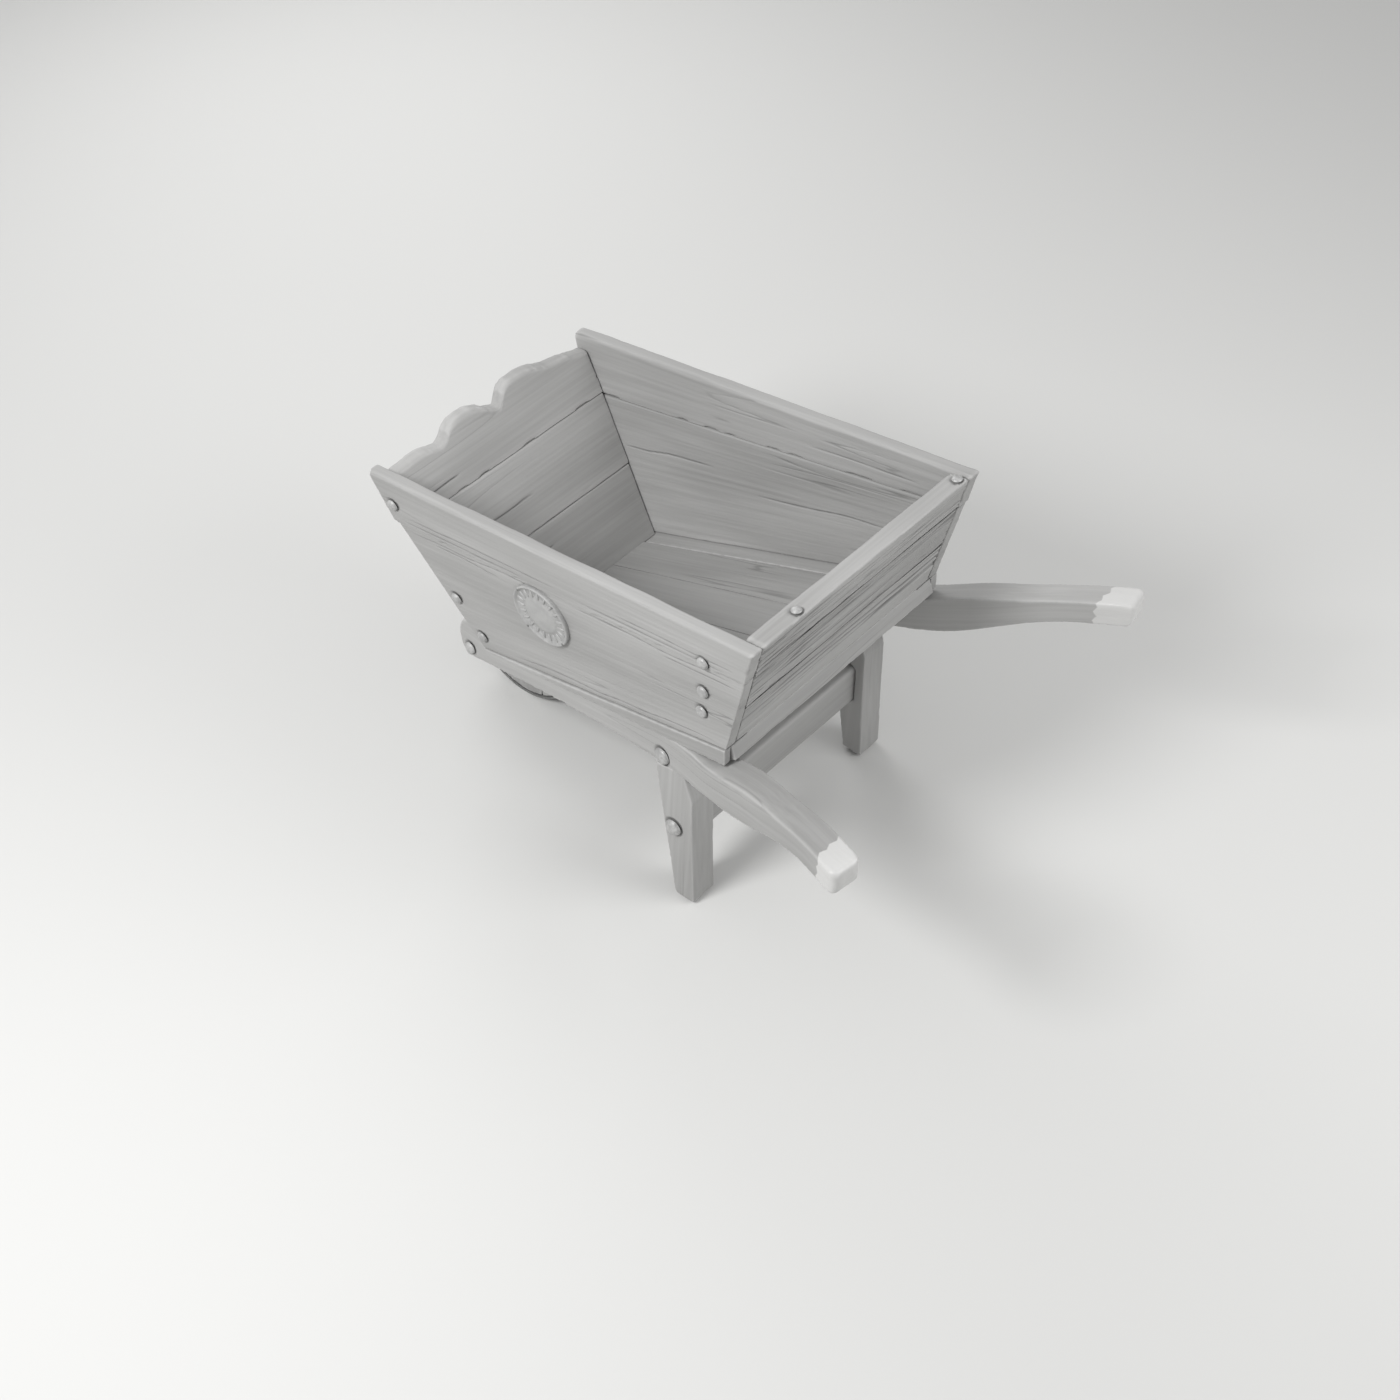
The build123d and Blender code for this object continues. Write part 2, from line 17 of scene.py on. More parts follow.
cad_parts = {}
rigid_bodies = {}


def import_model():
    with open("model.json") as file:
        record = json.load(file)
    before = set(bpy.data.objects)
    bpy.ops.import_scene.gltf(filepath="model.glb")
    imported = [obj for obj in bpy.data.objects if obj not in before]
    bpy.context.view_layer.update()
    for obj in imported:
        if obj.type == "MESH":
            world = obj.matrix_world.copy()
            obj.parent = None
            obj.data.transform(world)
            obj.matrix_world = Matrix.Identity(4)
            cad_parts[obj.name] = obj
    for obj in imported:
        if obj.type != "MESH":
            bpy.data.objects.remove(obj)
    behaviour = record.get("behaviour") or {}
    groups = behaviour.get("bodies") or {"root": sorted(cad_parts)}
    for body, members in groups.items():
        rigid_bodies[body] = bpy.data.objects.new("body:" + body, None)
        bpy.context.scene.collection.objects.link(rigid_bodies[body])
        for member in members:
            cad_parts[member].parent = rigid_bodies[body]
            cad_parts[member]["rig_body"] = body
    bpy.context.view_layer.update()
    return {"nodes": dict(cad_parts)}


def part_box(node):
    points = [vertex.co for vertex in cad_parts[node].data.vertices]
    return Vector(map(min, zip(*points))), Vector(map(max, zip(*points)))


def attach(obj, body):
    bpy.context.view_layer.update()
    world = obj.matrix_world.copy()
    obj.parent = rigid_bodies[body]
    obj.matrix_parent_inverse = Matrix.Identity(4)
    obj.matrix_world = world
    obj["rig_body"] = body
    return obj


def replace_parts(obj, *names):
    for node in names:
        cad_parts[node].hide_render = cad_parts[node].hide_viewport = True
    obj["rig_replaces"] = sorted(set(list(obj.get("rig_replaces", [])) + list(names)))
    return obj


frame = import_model()
NODES = frame["nodes"]
MM = 0.001
print(len(NODES), "solids loaded")

# %% [markdown]
# ## Camera, light and floor
# The eye stands behind the operator's left shoulder and looks down at 45 degrees through a short
# telephoto lens, so the tray's inside, its left wall and its rear wall all show. The light is that of a
# plain studio: one soft key high above the left side, a wide weak fill behind, and another in front.
# Large lamps are chosen because carved grain reads best when shadows have soft edges.

# %% Camera, light and floor
EYE = Vector((2.744, 2.312, 3.851))
HEADING = Vector((-0.756, -0.6545, 0)).normalized()
LOOK_DOWN = math.radians(45.21)
SENSOR_MM = 36
LENS_MM = 64.3


def link(thing):
    bpy.context.scene.collection.objects.link(thing)
    return thing


def look(thing, direction):
    thing.rotation_euler = Vector(direction).to_track_quat("-Z", "Y").to_euler()


def soft_light(name, place, target, size, watts):
    lamp = bpy.data.lights.new(name, "AREA")
    lamp.shape = "DISK"
    lamp.size = size
    lamp.energy = watts
    holder = link(bpy.data.objects.new(name, lamp))
    holder.location = place
    look(holder, Vector(target) - Vector(place))


camera = link(bpy.data.objects.new("camera", bpy.data.cameras.new("camera")))
camera.data.sensor_width = SENSOR_MM
camera.data.lens = LENS_MM
camera.location = EYE
look(camera, HEADING * math.cos(LOOK_DOWN) - Vector((0, 0, math.sin(LOOK_DOWN))))
bpy.context.scene.camera = camera

TRAY_MIDDLE = (0, -0.15, 0.5)
soft_light("key", (2.9, -0.5, 3.3), TRAY_MIDDLE, 1.3, 125)
soft_light("fill", (-1.2, 2.9, 2.6), TRAY_MIDDLE, 2.4, 55)
soft_light("front", (-1.6, -3.0, 2.2), TRAY_MIDDLE, 2.4, 40)

world = bpy.data.worlds.new("studio")
world.use_nodes = True
world.node_tree.nodes["Background"].inputs["Color"].default_value = (1, 1, 1, 1)
world.node_tree.nodes["Background"].inputs["Strength"].default_value = 0.5
bpy.context.scene.world = world
bpy.context.scene.view_settings.view_transform = "Standard"
print("camera at", tuple(round(c, 3) for c in camera.location))

# %% [markdown]
# ## Small helpers for node trees
# Geometry trees and material trees are built the same way: add a node, set what is constant, link what
# is not. One helper adds any node, a second one writes a sum on one line, and two more make a soft step
# and a stretched noise, so the recipes below read like recipes.

# %% Node helpers
def add(tree, kind, inputs=None, **settings):
    made = tree.nodes.new(kind)
    for name, value in settings.items():
        setattr(made, name, value)
    for key, value in (inputs or {}).items():
        if isinstance(value, bpy.types.NodeSocket):
            tree.links.new(value, made.inputs[key])
        else:
            made.inputs[key].default_value = value
    return made


def maths(tree, operation, *values, clamp=False):
    made = add(tree, "ShaderNodeMath", dict(enumerate(values)), operation=operation, use_clamp=clamp)
    return made.outputs[0]


def ramp(tree, value, low, high, to_low=0.0, to_high=1.0):
    """Turns low..high into to_low..to_high with soft ends."""
    made = add(tree, "ShaderNodeMapRange", {"Value": value, "From Min": low, "From Max": high,
                                            "To Min": to_low, "To Max": to_high},
               interpolation_type="SMOOTHSTEP")
    return made.outputs["Result"]


def noise(tree, vector, stretch, detail=2.0, roughness=0.5):
    """Seeded noise, finer along the axes with the larger stretch, in features per metre."""
    scaled = add(tree, "ShaderNodeVectorMath", {0: vector, 1: stretch}, operation="MULTIPLY")
    made = add(tree, "ShaderNodeTexNoise", {"Vector": scaled.outputs[0], "Scale": 1.0,
                                            "Detail": detail, "Roughness": roughness})
    return made.outputs[0]


# %% [markdown]
# ## What weather does to timber
# Old timber is worn in three ways. Soft spring wood washes out between the hard rings and leaves low
# ridges along the grain. Where it dries it opens in long thin checks. And its edges are knocked round.
# The first two follow a rule, so one recipe makes them, once in Geometry Nodes to move the surface and
# once in the material to darken the same places: a darker grain tone in the washed wood, and painted shade
# in the checks. Each point of a timber carries its own coordinates,
# `timber`: metres along the grain, across it and through it, so the grain follows each piece.

# %% The grain recipe, shared by shape and colour
def washed_grain(tree, timber):
    """0 on the hard rings and 1 where the soft wood is washed out."""
    wide = noise(tree, timber, (2.2, 62, 62), detail=3, roughness=0.6)
    return ramp(tree, wide, 0.36, 0.66)


def drying_checks(tree, timber):
    """1 in the long thin checks, and 0 elsewhere."""
    lines = noise(tree, timber, (1.3, 30, 30), detail=1)
    off_centre = maths(tree, "ABSOLUTE", maths(tree, "SUBTRACT", lines, 0.5))
    thin = ramp(tree, off_centre, 0.0, 0.016, 1.0, 0.0)
    patches = ramp(tree, noise(tree, timber, (1.9, 8, 8), detail=0), 0.56, 0.66)
    return maths(tree, "MULTIPLY", thin, patches)


def ridge_lines(tree, timber):
    """1 in the furrows between the ridges of badly weathered boards, which run like contour lines."""
    rings = maths(tree, "FRACT", maths(tree, "MULTIPLY", noise(tree, timber, (0.6, 32, 32), detail=1), 9.0))
    off_furrow = maths(tree, "ABSOLUTE", maths(tree, "SUBTRACT", rings, 0.5))
    return ramp(tree, off_furrow, 0.0, 0.22, 1.0, 0.0)


# %% [markdown]
# ## Materials
# All the wood has gone the same pale silver grey, so one function makes its material: streaks along the
# grain, painted shade in the checks, furrows, splits and dents, and paler edges, partly where hands and
# stone have rubbed them and partly a painted highlight. The grips are the same wood, polished by palms:
# paler and smoother, with a jagged border where the polish stops. The colour comes from each piece's own
# `timber` coordinates, and the pale edges and the shade in splits and dents come from two stored masks.

# %% Timber and iron materials
TIMBER_DARK = (0.285, 0.283, 0.278, 1)
TIMBER_PALE = (0.405, 0.403, 0.397, 1)
# The next colour paints the edges paler: partly rubbed wear, partly a painted highlight.
TIMBER_RUBBED_HIGHLIGHT = (0.50, 0.498, 0.492, 1)
TIMBER_SHADOW = (0.09, 0.089, 0.087, 1)
GRIP_PALE = (0.58, 0.578, 0.570, 1)
GRIP_LENGTH = 0.062
GRIP_TEETH = 0.014
TEETH_ACROSS, TEETH_UP = 37, 41
GRIP_BORDER_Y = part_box("left_rail")[1].y - GRIP_LENGTH


def mix(tree, share, first, second):
    made = add(tree, "ShaderNodeMix", data_type="RGBA")
    for key, value in ((0, share), (6, first), (7, second)):
        if isinstance(value, bpy.types.NodeSocket):
            tree.links.new(value, made.inputs[key])
        else:
            made.inputs[key].default_value = value
    return made.outputs[2]


def material_tree(name):
    material = bpy.data.materials.new(name)
    material.use_nodes = True
    tree = material.node_tree
    return material, tree, tree.nodes["Principled BSDF"]


def attribute(tree, name):
    return add(tree, "ShaderNodeAttribute", attribute_name=name)


def zigzag(tree, value, teeth_per_metre):
    """Runs evenly from 0 to 1 and back."""
    scaled = maths(tree, "MULTIPLY", value, float(teeth_per_metre))
    return maths(tree, "MULTIPLY", maths(tree, "PINGPONG", scaled, 0.5), 2.0)


def polish(tree):
    """1 on the rubbed ends of the rails, with a border of pointed teeth."""
    place = add(tree, "ShaderNodeTexCoord").outputs["Object"]
    split = add(tree, "ShaderNodeSeparateXYZ", {0: place})
    teeth = maths(tree, "MULTIPLY", zigzag(tree, split.outputs["X"], TEETH_ACROSS), 0.5)
    teeth = maths(tree, "MULTIPLY_ADD", zigzag(tree, split.outputs["Z"], TEETH_UP), 0.5, teeth)
    teeth = maths(tree, "ADD", teeth, maths(tree, "MULTIPLY", noise(tree, place, (60, 60, 60)), 0.35))
    border = maths(tree, "MULTIPLY_ADD", teeth, -GRIP_TEETH, GRIP_BORDER_Y + GRIP_TEETH / 2)
    return ramp(tree, maths(tree, "SUBTRACT", split.outputs["Y"], border), -0.0015, 0.0015)


def timber_material(name, carved=True, grips=False, ridges=False, figure=1.0):
    material, tree, shader = material_tree(name)
    if carved:
        timber = attribute(tree, "timber").outputs["Vector"]
    else:
        timber = add(tree, "ShaderNodeTexCoord").outputs["Object"]
    streaks = noise(tree, timber, (2.4, 130, 130), detail=4, roughness=0.6)
    broad = noise(tree, timber, (1.6, 7, 7), detail=2)
    tone = maths(tree, "ADD", ramp(tree, streaks, 0.3, 0.7, 0, 0.4), ramp(tree, broad, 0.3, 0.7, 0, 0.6))
    colour = mix(tree, tone, TIMBER_DARK, TIMBER_PALE)
    washed = maths(tree, "MULTIPLY", washed_grain(tree, timber), 0.18 * figure)
    colour = mix(tree, washed, colour, TIMBER_DARK)
    # Painted shade: the checks are darkened as if shade lay in the cracks.
    checks = maths(tree, "MULTIPLY", drying_checks(tree, timber), 0.6 * figure)
    colour = mix(tree, checks, colour, TIMBER_SHADOW)
    if ridges:
        # Painted shade in the furrows between the ridges.
        where_furrowed = attribute(tree, "furrowed").outputs["Fac"]
        furrows = maths(tree, "MULTIPLY", ridge_lines(tree, timber), where_furrowed)
        colour = mix(tree, maths(tree, "MULTIPLY", furrows, 0.75), colour, TIMBER_SHADOW)
    if carved:
        # Paler edges: partly rubbed wear, partly a painted highlight laid on every convex edge.
        wear = ramp(tree, attribute(tree, "wear").outputs["Fac"], 0.15, 0.85)
        colour = mix(tree, maths(tree, "MULTIPLY", wear, 0.45), colour, TIMBER_RUBBED_HIGHLIGHT)
        # Painted shade in the splits and in the dented rings around the heads.
        hollow = attribute(tree, "hollow").outputs["Fac"]
        colour = mix(tree, maths(tree, "MULTIPLY", hollow, 0.85), colour, TIMBER_SHADOW)
    rough = ramp(tree, streaks, 0.3, 0.7, 0.56, 0.72)
    if grips:
        rubbed = polish(tree)
        polished = mix(tree, maths(tree, "MULTIPLY", tone, 0.3), GRIP_PALE, TIMBER_PALE)
        colour = mix(tree, rubbed, colour, polished)
        rough = maths(tree, "MULTIPLY", rough, maths(tree, "MULTIPLY_ADD", rubbed, -0.45, 1.0))
    tree.links.new(colour, shader.inputs["Base Color"])
    tree.links.new(rough, shader.inputs["Roughness"])
    bump = add(tree, "ShaderNodeBump", {"Height": streaks, "Strength": 0.22, "Distance": 0.001})
    tree.links.new(bump.outputs[0], shader.inputs["Normal"])
    return material


def iron_material(name, dark, pale, roughness, metallic):
    material, tree, shader = material_tree(name)
    place = add(tree, "ShaderNodeTexCoord").outputs["Object"]
    scale = noise(tree, place, (160, 160, 160), detail=4)
    patches = noise(tree, place, (35, 35, 35), detail=2)
    tone = ramp(tree, maths(tree, "ADD", maths(tree, "MULTIPLY", scale, 0.5),
                            maths(tree, "MULTIPLY", patches, 0.5)), 0.38, 0.62)
    tree.links.new(mix(tree, tone, dark, pale), shader.inputs["Base Color"])
    rough = ramp(tree, scale, 0.3, 0.7, roughness - 0.12, roughness + 0.15)
    tree.links.new(rough, shader.inputs["Roughness"])
    bump = add(tree, "ShaderNodeBump", {"Height": scale, "Strength": 0.3, "Distance": 0.0008})
    tree.links.new(bump.outputs[0], shader.inputs["Normal"])
    shader.inputs["Metallic"].default_value = metallic
    return material


TIMBER = timber_material("weathered_timber", figure=0.65)
RAIL_TIMBER = timber_material("weathered_timber_with_grips", grips=True, figure=0.45)
PLAIN_TIMBER = timber_material("weathered_timber_plain", carved=False)
CALM_TIMBER = timber_material("weathered_timber_calm", figure=0.45)
RIDGED_TIMBER = timber_material("weathered_timber_ridged", ridges=True)
IRON = iron_material("forged_iron", (0.33, 0.33, 0.327, 1), (0.47, 0.47, 0.465, 1), 0.42, 0.15)
DULL_IRON = iron_material("dull_iron", (0.19, 0.19, 0.188, 1), (0.27, 0.27, 0.267, 1), 0.6, 0.5)
BADGE_METAL = iron_material("badge_metal", (0.36, 0.36, 0.357, 1), (0.42, 0.42, 0.415, 1), 0.55, 0.2)
print("materials:", [m.name for m in bpy.data.materials])

# %% [markdown]
# ## The studio floor
# The floor is a plain pale sheet, large enough to fill the view. It lies half a millimetre below the
# ground, so the lowest piece doesn't lie in the same plane.

# %% Studio floor
FLOOR_HALF = 40
FLOOR_HEIGHT = -0.5 * MM
floor_mesh = bpy.data.meshes.new("studio_floor")
floor_signs = ((-1, -1), (1, -1), (1, 1), (-1, 1))
floor_corners = [(x * FLOOR_HALF, y * FLOOR_HALF, FLOOR_HEIGHT) for x, y in floor_signs]
floor_mesh.from_pydata(floor_corners, [], [(0, 1, 2, 3)])
studio_floor = link(bpy.data.objects.new("studio_floor", floor_mesh))
floor_material, _, floor_shader = material_tree("studio_floor")
floor_shader.inputs["Base Color"].default_value = (0.62, 0.62, 0.61, 1)
floor_shader.inputs["Roughness"].default_value = 0.85
floor_mesh.materials.append(floor_material)

# %% [markdown]
# ## Reading pins off the solid model
# The nails and bolts are measured rather than typed in. Each group is taken apart into its separate
# solids. A solid's narrow end is the tip of its shank, its axis runs from there through its middle,
# and the widest ring is the rim of its head.

# %% Measure nails and bolts
def merged_copy(node):
    shell = bmesh.new()
    shell.from_mesh(NODES[node].data)
    bmesh.ops.remove_doubles(shell, verts=shell.verts, dist=1e-6)
    return shell


def separate_solids(node):
    """The points of each separate solid, always in the order of the node's own mesh."""
    shell = merged_copy(node)
    waiting, solids = set(shell.verts), []
    for start in shell.verts:
        if start not in waiting:
            continue
        waiting.discard(start)
        edge_of_search, found = [start], []
        while edge_of_search:
            vertex = edge_of_search.pop()
            found.append(vertex.co.copy())
            for edge in vertex.link_edges:
                other = edge.other_vert(vertex)
                if other in waiting:
                    waiting.discard(other)
                    edge_of_search.append(other)
        solids.append(np.array(found))
    shell.free()
    return solids


def measure_pin(points):
    """Centre of the head's underside, the way the head faces, and the head's and shank's sizes."""
    middle = points.mean(0)
    tip = points[np.argmax(np.linalg.norm(points - middle, axis=1))]
    for reach in (1.5 * MM, 0.3 * MM):
        axis = (middle - tip) / np.linalg.norm(middle - tip)
        height = points @ axis
        tip = points[height < height.min() + reach].mean(0)
    axis = (middle - tip) / np.linalg.norm(middle - tip)
    height = (points - tip) @ axis
    off_axis = np.linalg.norm(points - tip - height[:, None] * axis, axis=1)
    rim = height[off_axis > off_axis.max() - 0.5 * MM].mean()
    return {"base": tip + axis * rim, "axis": axis, "radius": off_axis.max(), "dome": height.max() - rim,
            "shank": off_axis[height < 0.5 * MM].max(), "length": rim}


HEADED = ("left_board_nails", "right_board_nails", "rear_rim_nails", "rail_toe_rivets", "leg_bolts",
          "brace_bolts", "hub_plate_nails")
PINS = {name: [measure_pin(solid) for solid in separate_solids(name)] for name in HEADED}
for name, pins in PINS.items():
    print(f"{name}: {len(pins)} of {pins[0]['radius'] / MM:.1f} mm radius, "
          f"{pins[0]['length'] / MM:.0f} mm long")

# %% [markdown]
# ## The dents around the heads
# A nail that is driven home bruises the wood around its head. All heads go into one cloud of points,
# each with its radius, and the carving tree below presses a shallow ring into whatever timber is near.
# The material paints shade into that ring.

# %% Points that mark the heads
def attribute_values(mesh, name, kind, values):
    layer = mesh.attributes.new(name, kind, "POINT")
    key = "vector" if kind == "FLOAT_VECTOR" else "value"
    layer.data.foreach_set(key, np.asarray(values, np.float32).ravel())


def point_cloud(name, pins):
    mesh = bpy.data.meshes.new(name)
    mesh.from_pydata([tuple(pin["base"]) for pin in pins], [], [])
    attribute_values(mesh, "facing", "FLOAT_VECTOR", [pin["axis"] for pin in pins])
    attribute_values(mesh, "head_radius", "FLOAT", [pin["radius"] for pin in pins])
    return bpy.data.objects.new(name, mesh)


all_heads = link(point_cloud("head_marks", [pin for pins in PINS.values() for pin in pins]))
print(len(all_heads.data.vertices), "heads marked")

# %% [markdown]
# ## The carving tree
# This Geometry Nodes tree takes any closed timber and wears it. It compares each point with a blurred
# copy of the surface to find the sharp edges, then presses the surface inwards: a little everywhere in
# broad hollows, along the grain where it is washed out, in the checks, in chips along the sharp edges, in
# a ring around each head, and along the splits that run on marked lines. Where a board says that it is
# `furrowed`, ridges stand between deep furrows. It only ever carves inwards, so a timber never outgrows
# its solid. It stores two masks for the material: the sharp edges, which it paints paler as rubbed wear
# and painted highlight, and the splits and head rings, where it paints shade.

# %% Carving tree
CARVING_INPUTS = (("Hollow depth", 0.0016), ("Grain depth", 0.0005), ("Check depth", 0.0014),
                  ("Ridge depth", 0.0), ("Chip depth", 0.0040), ("Dent depth", 0.0030),
                  ("Split depth", 0.0040), ("Split half width", 0.0020))


def new_geometry_tree(name, sizes, objects=()):
    tree = bpy.data.node_groups.new(name, "GeometryNodeTree")
    tree.interface.new_socket("Geometry", in_out="INPUT", socket_type="NodeSocketGeometry")
    for label, value in sizes:
        kind = "NodeSocketInt" if isinstance(value, int) else "NodeSocketFloat"
        tree.interface.new_socket(label, in_out="INPUT", socket_type=kind).default_value = value
    for label in objects:
        tree.interface.new_socket(label, in_out="INPUT", socket_type="NodeSocketObject")
    tree.interface.new_socket("Material", in_out="INPUT", socket_type="NodeSocketMaterial")
    tree.interface.new_socket("Geometry", in_out="OUTPUT", socket_type="NodeSocketGeometry")
    return tree, add(tree, "NodeGroupInput").outputs


def close_tree(tree, geometry, material):
    real = add(tree, "GeometryNodeRealizeInstances", {"Geometry": geometry})
    painted = add(tree, "GeometryNodeSetMaterial", {"Geometry": real.outputs[0], "Material": material})
    add(tree, "NodeGroupOutput", {"Geometry": painted.outputs[0]})


def named(tree, name, kind):
    return add(tree, "GeometryNodeInputNamedAttribute", {"Name": name}, data_type=kind).outputs[0]


def near(tree, marks, element, attribute_name):
    """Distance to the nearest mark, and that mark's own number."""
    info = add(tree, "GeometryNodeObjectInfo", {"Object": marks}).outputs["Geometry"]
    distance = add(tree, "GeometryNodeProximity", {0: info}, target_element=element).outputs["Distance"]
    index = add(tree, "GeometryNodeSampleNearest", {"Geometry": info}).outputs["Index"]
    value = add(tree, "GeometryNodeSampleIndex", {"Geometry": info, "Index": index,
                                                  "Value": named(tree, attribute_name, "FLOAT")})
    return distance, value.outputs[0]


EDGE_WEAR_AND_HIGHLIGHT_PER_BULGE = 700.0


def carving_tree():
    tree, given = new_geometry_tree("Carve and weather", CARVING_INPUTS, ("Heads", "Splits"))
    timber = named(tree, "timber", "FLOAT_VECTOR")
    position = add(tree, "GeometryNodeInputPosition").outputs[0]
    normal = add(tree, "GeometryNodeInputNormal").outputs[0]

    # Convex edges: they guide the chips, and the material paints them paler, partly as rubbed wear and
    # partly as a painted highlight.
    blurred = add(tree, "GeometryNodeBlurAttribute", {"Value": position, "Iterations": 6},
                  data_type="FLOAT_VECTOR").outputs[0]
    outward = add(tree, "ShaderNodeVectorMath", {0: position, 1: blurred}, operation="SUBTRACT").outputs[0]
    bulge = add(tree, "ShaderNodeVectorMath", {0: outward, 1: normal},
                operation="DOT_PRODUCT").outputs["Value"]
    wear = maths(tree, "MULTIPLY", bulge, EDGE_WEAR_AND_HIGHLIGHT_PER_BULGE, clamp=True)

    broad = maths(tree, "MULTIPLY", noise(tree, timber, (5, 17, 17), detail=1), given["Hollow depth"])
    chipped = ramp(tree, noise(tree, timber, (24, 40, 40), detail=2), 0.5, 0.64)
    chipped = maths(tree, "MULTIPLY", chipped, ramp(tree, wear, 0.3, 0.9))
    chips = maths(tree, "MULTIPLY", chipped, given["Chip depth"])
    furrows = maths(tree, "MULTIPLY", ridge_lines(tree, timber), named(tree, "furrowed", "FLOAT"))
    ridges = maths(tree, "MULTIPLY", furrows, given["Ridge depth"])
    washed = maths(tree, "MULTIPLY", washed_grain(tree, timber), given["Grain depth"])
    checks = maths(tree, "MULTIPLY", drying_checks(tree, timber), given["Check depth"])

    head_distance, head_radius = near(tree, given["Heads"], "POINTS", "head_radius")
    radii_away = maths(tree, "DIVIDE", head_distance, head_radius)
    ring = ramp(tree, radii_away, 1.03, 1.3, 1, 0)
    dents = maths(tree, "MULTIPLY", ring, given["Dent depth"])

    split_distance, strength = near(tree, given["Splits"], "EDGES", "strength")
    share = maths(tree, "DIVIDE", split_distance, given["Split half width"])
    split = maths(tree, "MULTIPLY", ramp(tree, share, 0, 1, 1, 0), strength)
    splits = maths(tree, "MULTIPLY", split, given["Split depth"])

    depth = broad
    for further in (washed, checks, ridges, chips, dents, splits):
        depth = maths(tree, "ADD", depth, further)
    inward = add(tree, "ShaderNodeVectorMath", {0: normal, "Scale": maths(tree, "MULTIPLY", depth, -1.0)},
                 operation="SCALE").outputs[0]
    stored = given["Geometry"]
    # Painted shade mask: the splits, and the dented rings round the heads at 0.6, for the material to
    # darken.
    hollow = maths(tree, "MAXIMUM", split, maths(tree, "MULTIPLY", ring, 0.6))
    for name, value in (("wear", wear), ("hollow", hollow)):
        stored = add(tree, "GeometryNodeStoreNamedAttribute",
                     {"Geometry": stored, "Name": name, "Value": value},
                     data_type="FLOAT", domain="POINT").outputs[0]
    moved = add(tree, "GeometryNodeSetPosition", {"Geometry": stored, "Offset": inward}).outputs[0]
    close_tree(tree, moved, given["Material"])
    return tree


CARVE = carving_tree()
print("carving tree:", len(CARVE.nodes), "nodes")

# %% [markdown]
# ## Running a tree and keeping its result
# A modifier's inputs are set by the identifier of each socket. The evaluated shape then becomes a plain
# mesh in a new object, and the working object with its modifier is thrown away. The finished piece is
# bound to the body that its solid belongs to and takes that solid's place.

# %% Grow a finished piece from a working object
PIECES = []


def grown(working, tree, values, name):
    modifier = working.modifiers.new("tree", "NODES")
    modifier.node_group = tree
    sockets = {item.name: item.identifier for item in tree.interface.items_tree if item.in_out == "INPUT"}
    for label, value in values.items():
        modifier[sockets[label]] = value
    if working.name not in bpy.context.scene.collection.objects:
        link(working)
    graph = bpy.context.evaluated_depsgraph_get()
    mesh = bpy.data.meshes.new_from_object(working.evaluated_get(graph), preserve_all_data_layers=True,
                                           depsgraph=graph)
    bpy.data.objects.remove(working)
    mesh.name = name
    mesh.shade_smooth()
    return link(bpy.data.objects.new(name, mesh))


def stands_for(piece, slot, *nodes):
    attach(piece, NODES[nodes[0]]["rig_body"])
    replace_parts(piece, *nodes)
    PIECES.append(piece)
    print(f"{piece.name}: {len(piece.data.polygons)} faces")


# %% [markdown]
# ## The corners of a straight board
# A sawn board has eight corners, and each one is the board's farthest point in some direction. Given
# roughly which way the board's length, height and thickness run, the code looks as far as it can towards
# each combination of the three, and reads the corner off the solid. Thickness counts for little in that
# look, because the walls are twisted.

# %% Find a board's corners
TWIST_ALLOWANCE = np.array([[1], [1], [0.15]])


def corners_of(node, along, up, through):
    points = np.array([v.co for v in NODES[node].data.vertices])
    towards = np.linalg.inv(np.array([along, up, through], float)).T * TWIST_ALLOWANCE
    corners = np.zeros((2, 2, 2, 3))
    for a, u, t in np.ndindex(2, 2, 2):
        direction = (2 * np.array([a, u, t]) - 1) @ towards
        corners[a, u, t] = points[np.argmax(points @ direction)]
    return corners


def within(corners, shares):
    """Points at the given shares of a board's length, height and thickness."""
    a, u, t = (shares[..., k, None] for k in range(3))
    place = 0
    for i, j, k in np.ndindex(2, 2, 2):
        weight = (a if i else 1 - a) * (u if j else 1 - u) * (t if k else 1 - t)
        place = place + weight * corners[i, j, k]
    return place


# %% [markdown]
# ## A board as a worn block
# The board could be the solid with a bevel, but then its faces would be too large to carve. It is built
# again as a fine shell of squares, closer together across the grain than along it, because grain is
# narrow and long. Its edges are rounded by pulling each point towards a smaller block inside, and the
# roundness wanders along the board as wear does.

# %% Build a board's shell
ALONG_STEP, ACROSS_STEP, THROUGH_STEP = 6 * MM, 2 * MM, 5 * MM
FADE = 0.12
WAVES_SUM = 1.83


def ticks(length, step, edge):
    """Places along one side: close together over the rounded edges and even between them."""
    rounded = edge * np.array([0, 0.22, 0.5, 0.78])
    middle = np.linspace(edge, length - edge, max(3, round((length - 2 * edge) / step)))
    return np.concatenate([rounded, middle, length - rounded[::-1]])


def block_shell(sides):
    """The surface of a block of ticks: its points, and four-sided faces that point outwards."""
    grid = np.stack(np.meshgrid(*sides, indexing="ij"), -1)
    skin = np.zeros(grid.shape[:3], bool)
    for axis in range(3):
        np.moveaxis(skin, axis, 0)[[0, -1]] = True
    number = np.full(grid.shape[:3], -1)
    number[skin] = np.arange(skin.sum())
    faces = []
    for axis in range(3):
        for side in (0, -1):
            sheet = np.moveaxis(number, axis, 0)[side]
            around = [sheet[:-1, :-1], sheet[1:, :-1], sheet[1:, 1:], sheet[:-1, 1:]]
            quads = np.stack(around, -1).reshape(-1, 4)
            inside_out = (side == 0) != (axis == 1)
            faces.append(quads[:, ::-1] if inside_out else quads)
    return grid[skin], np.concatenate(faces)


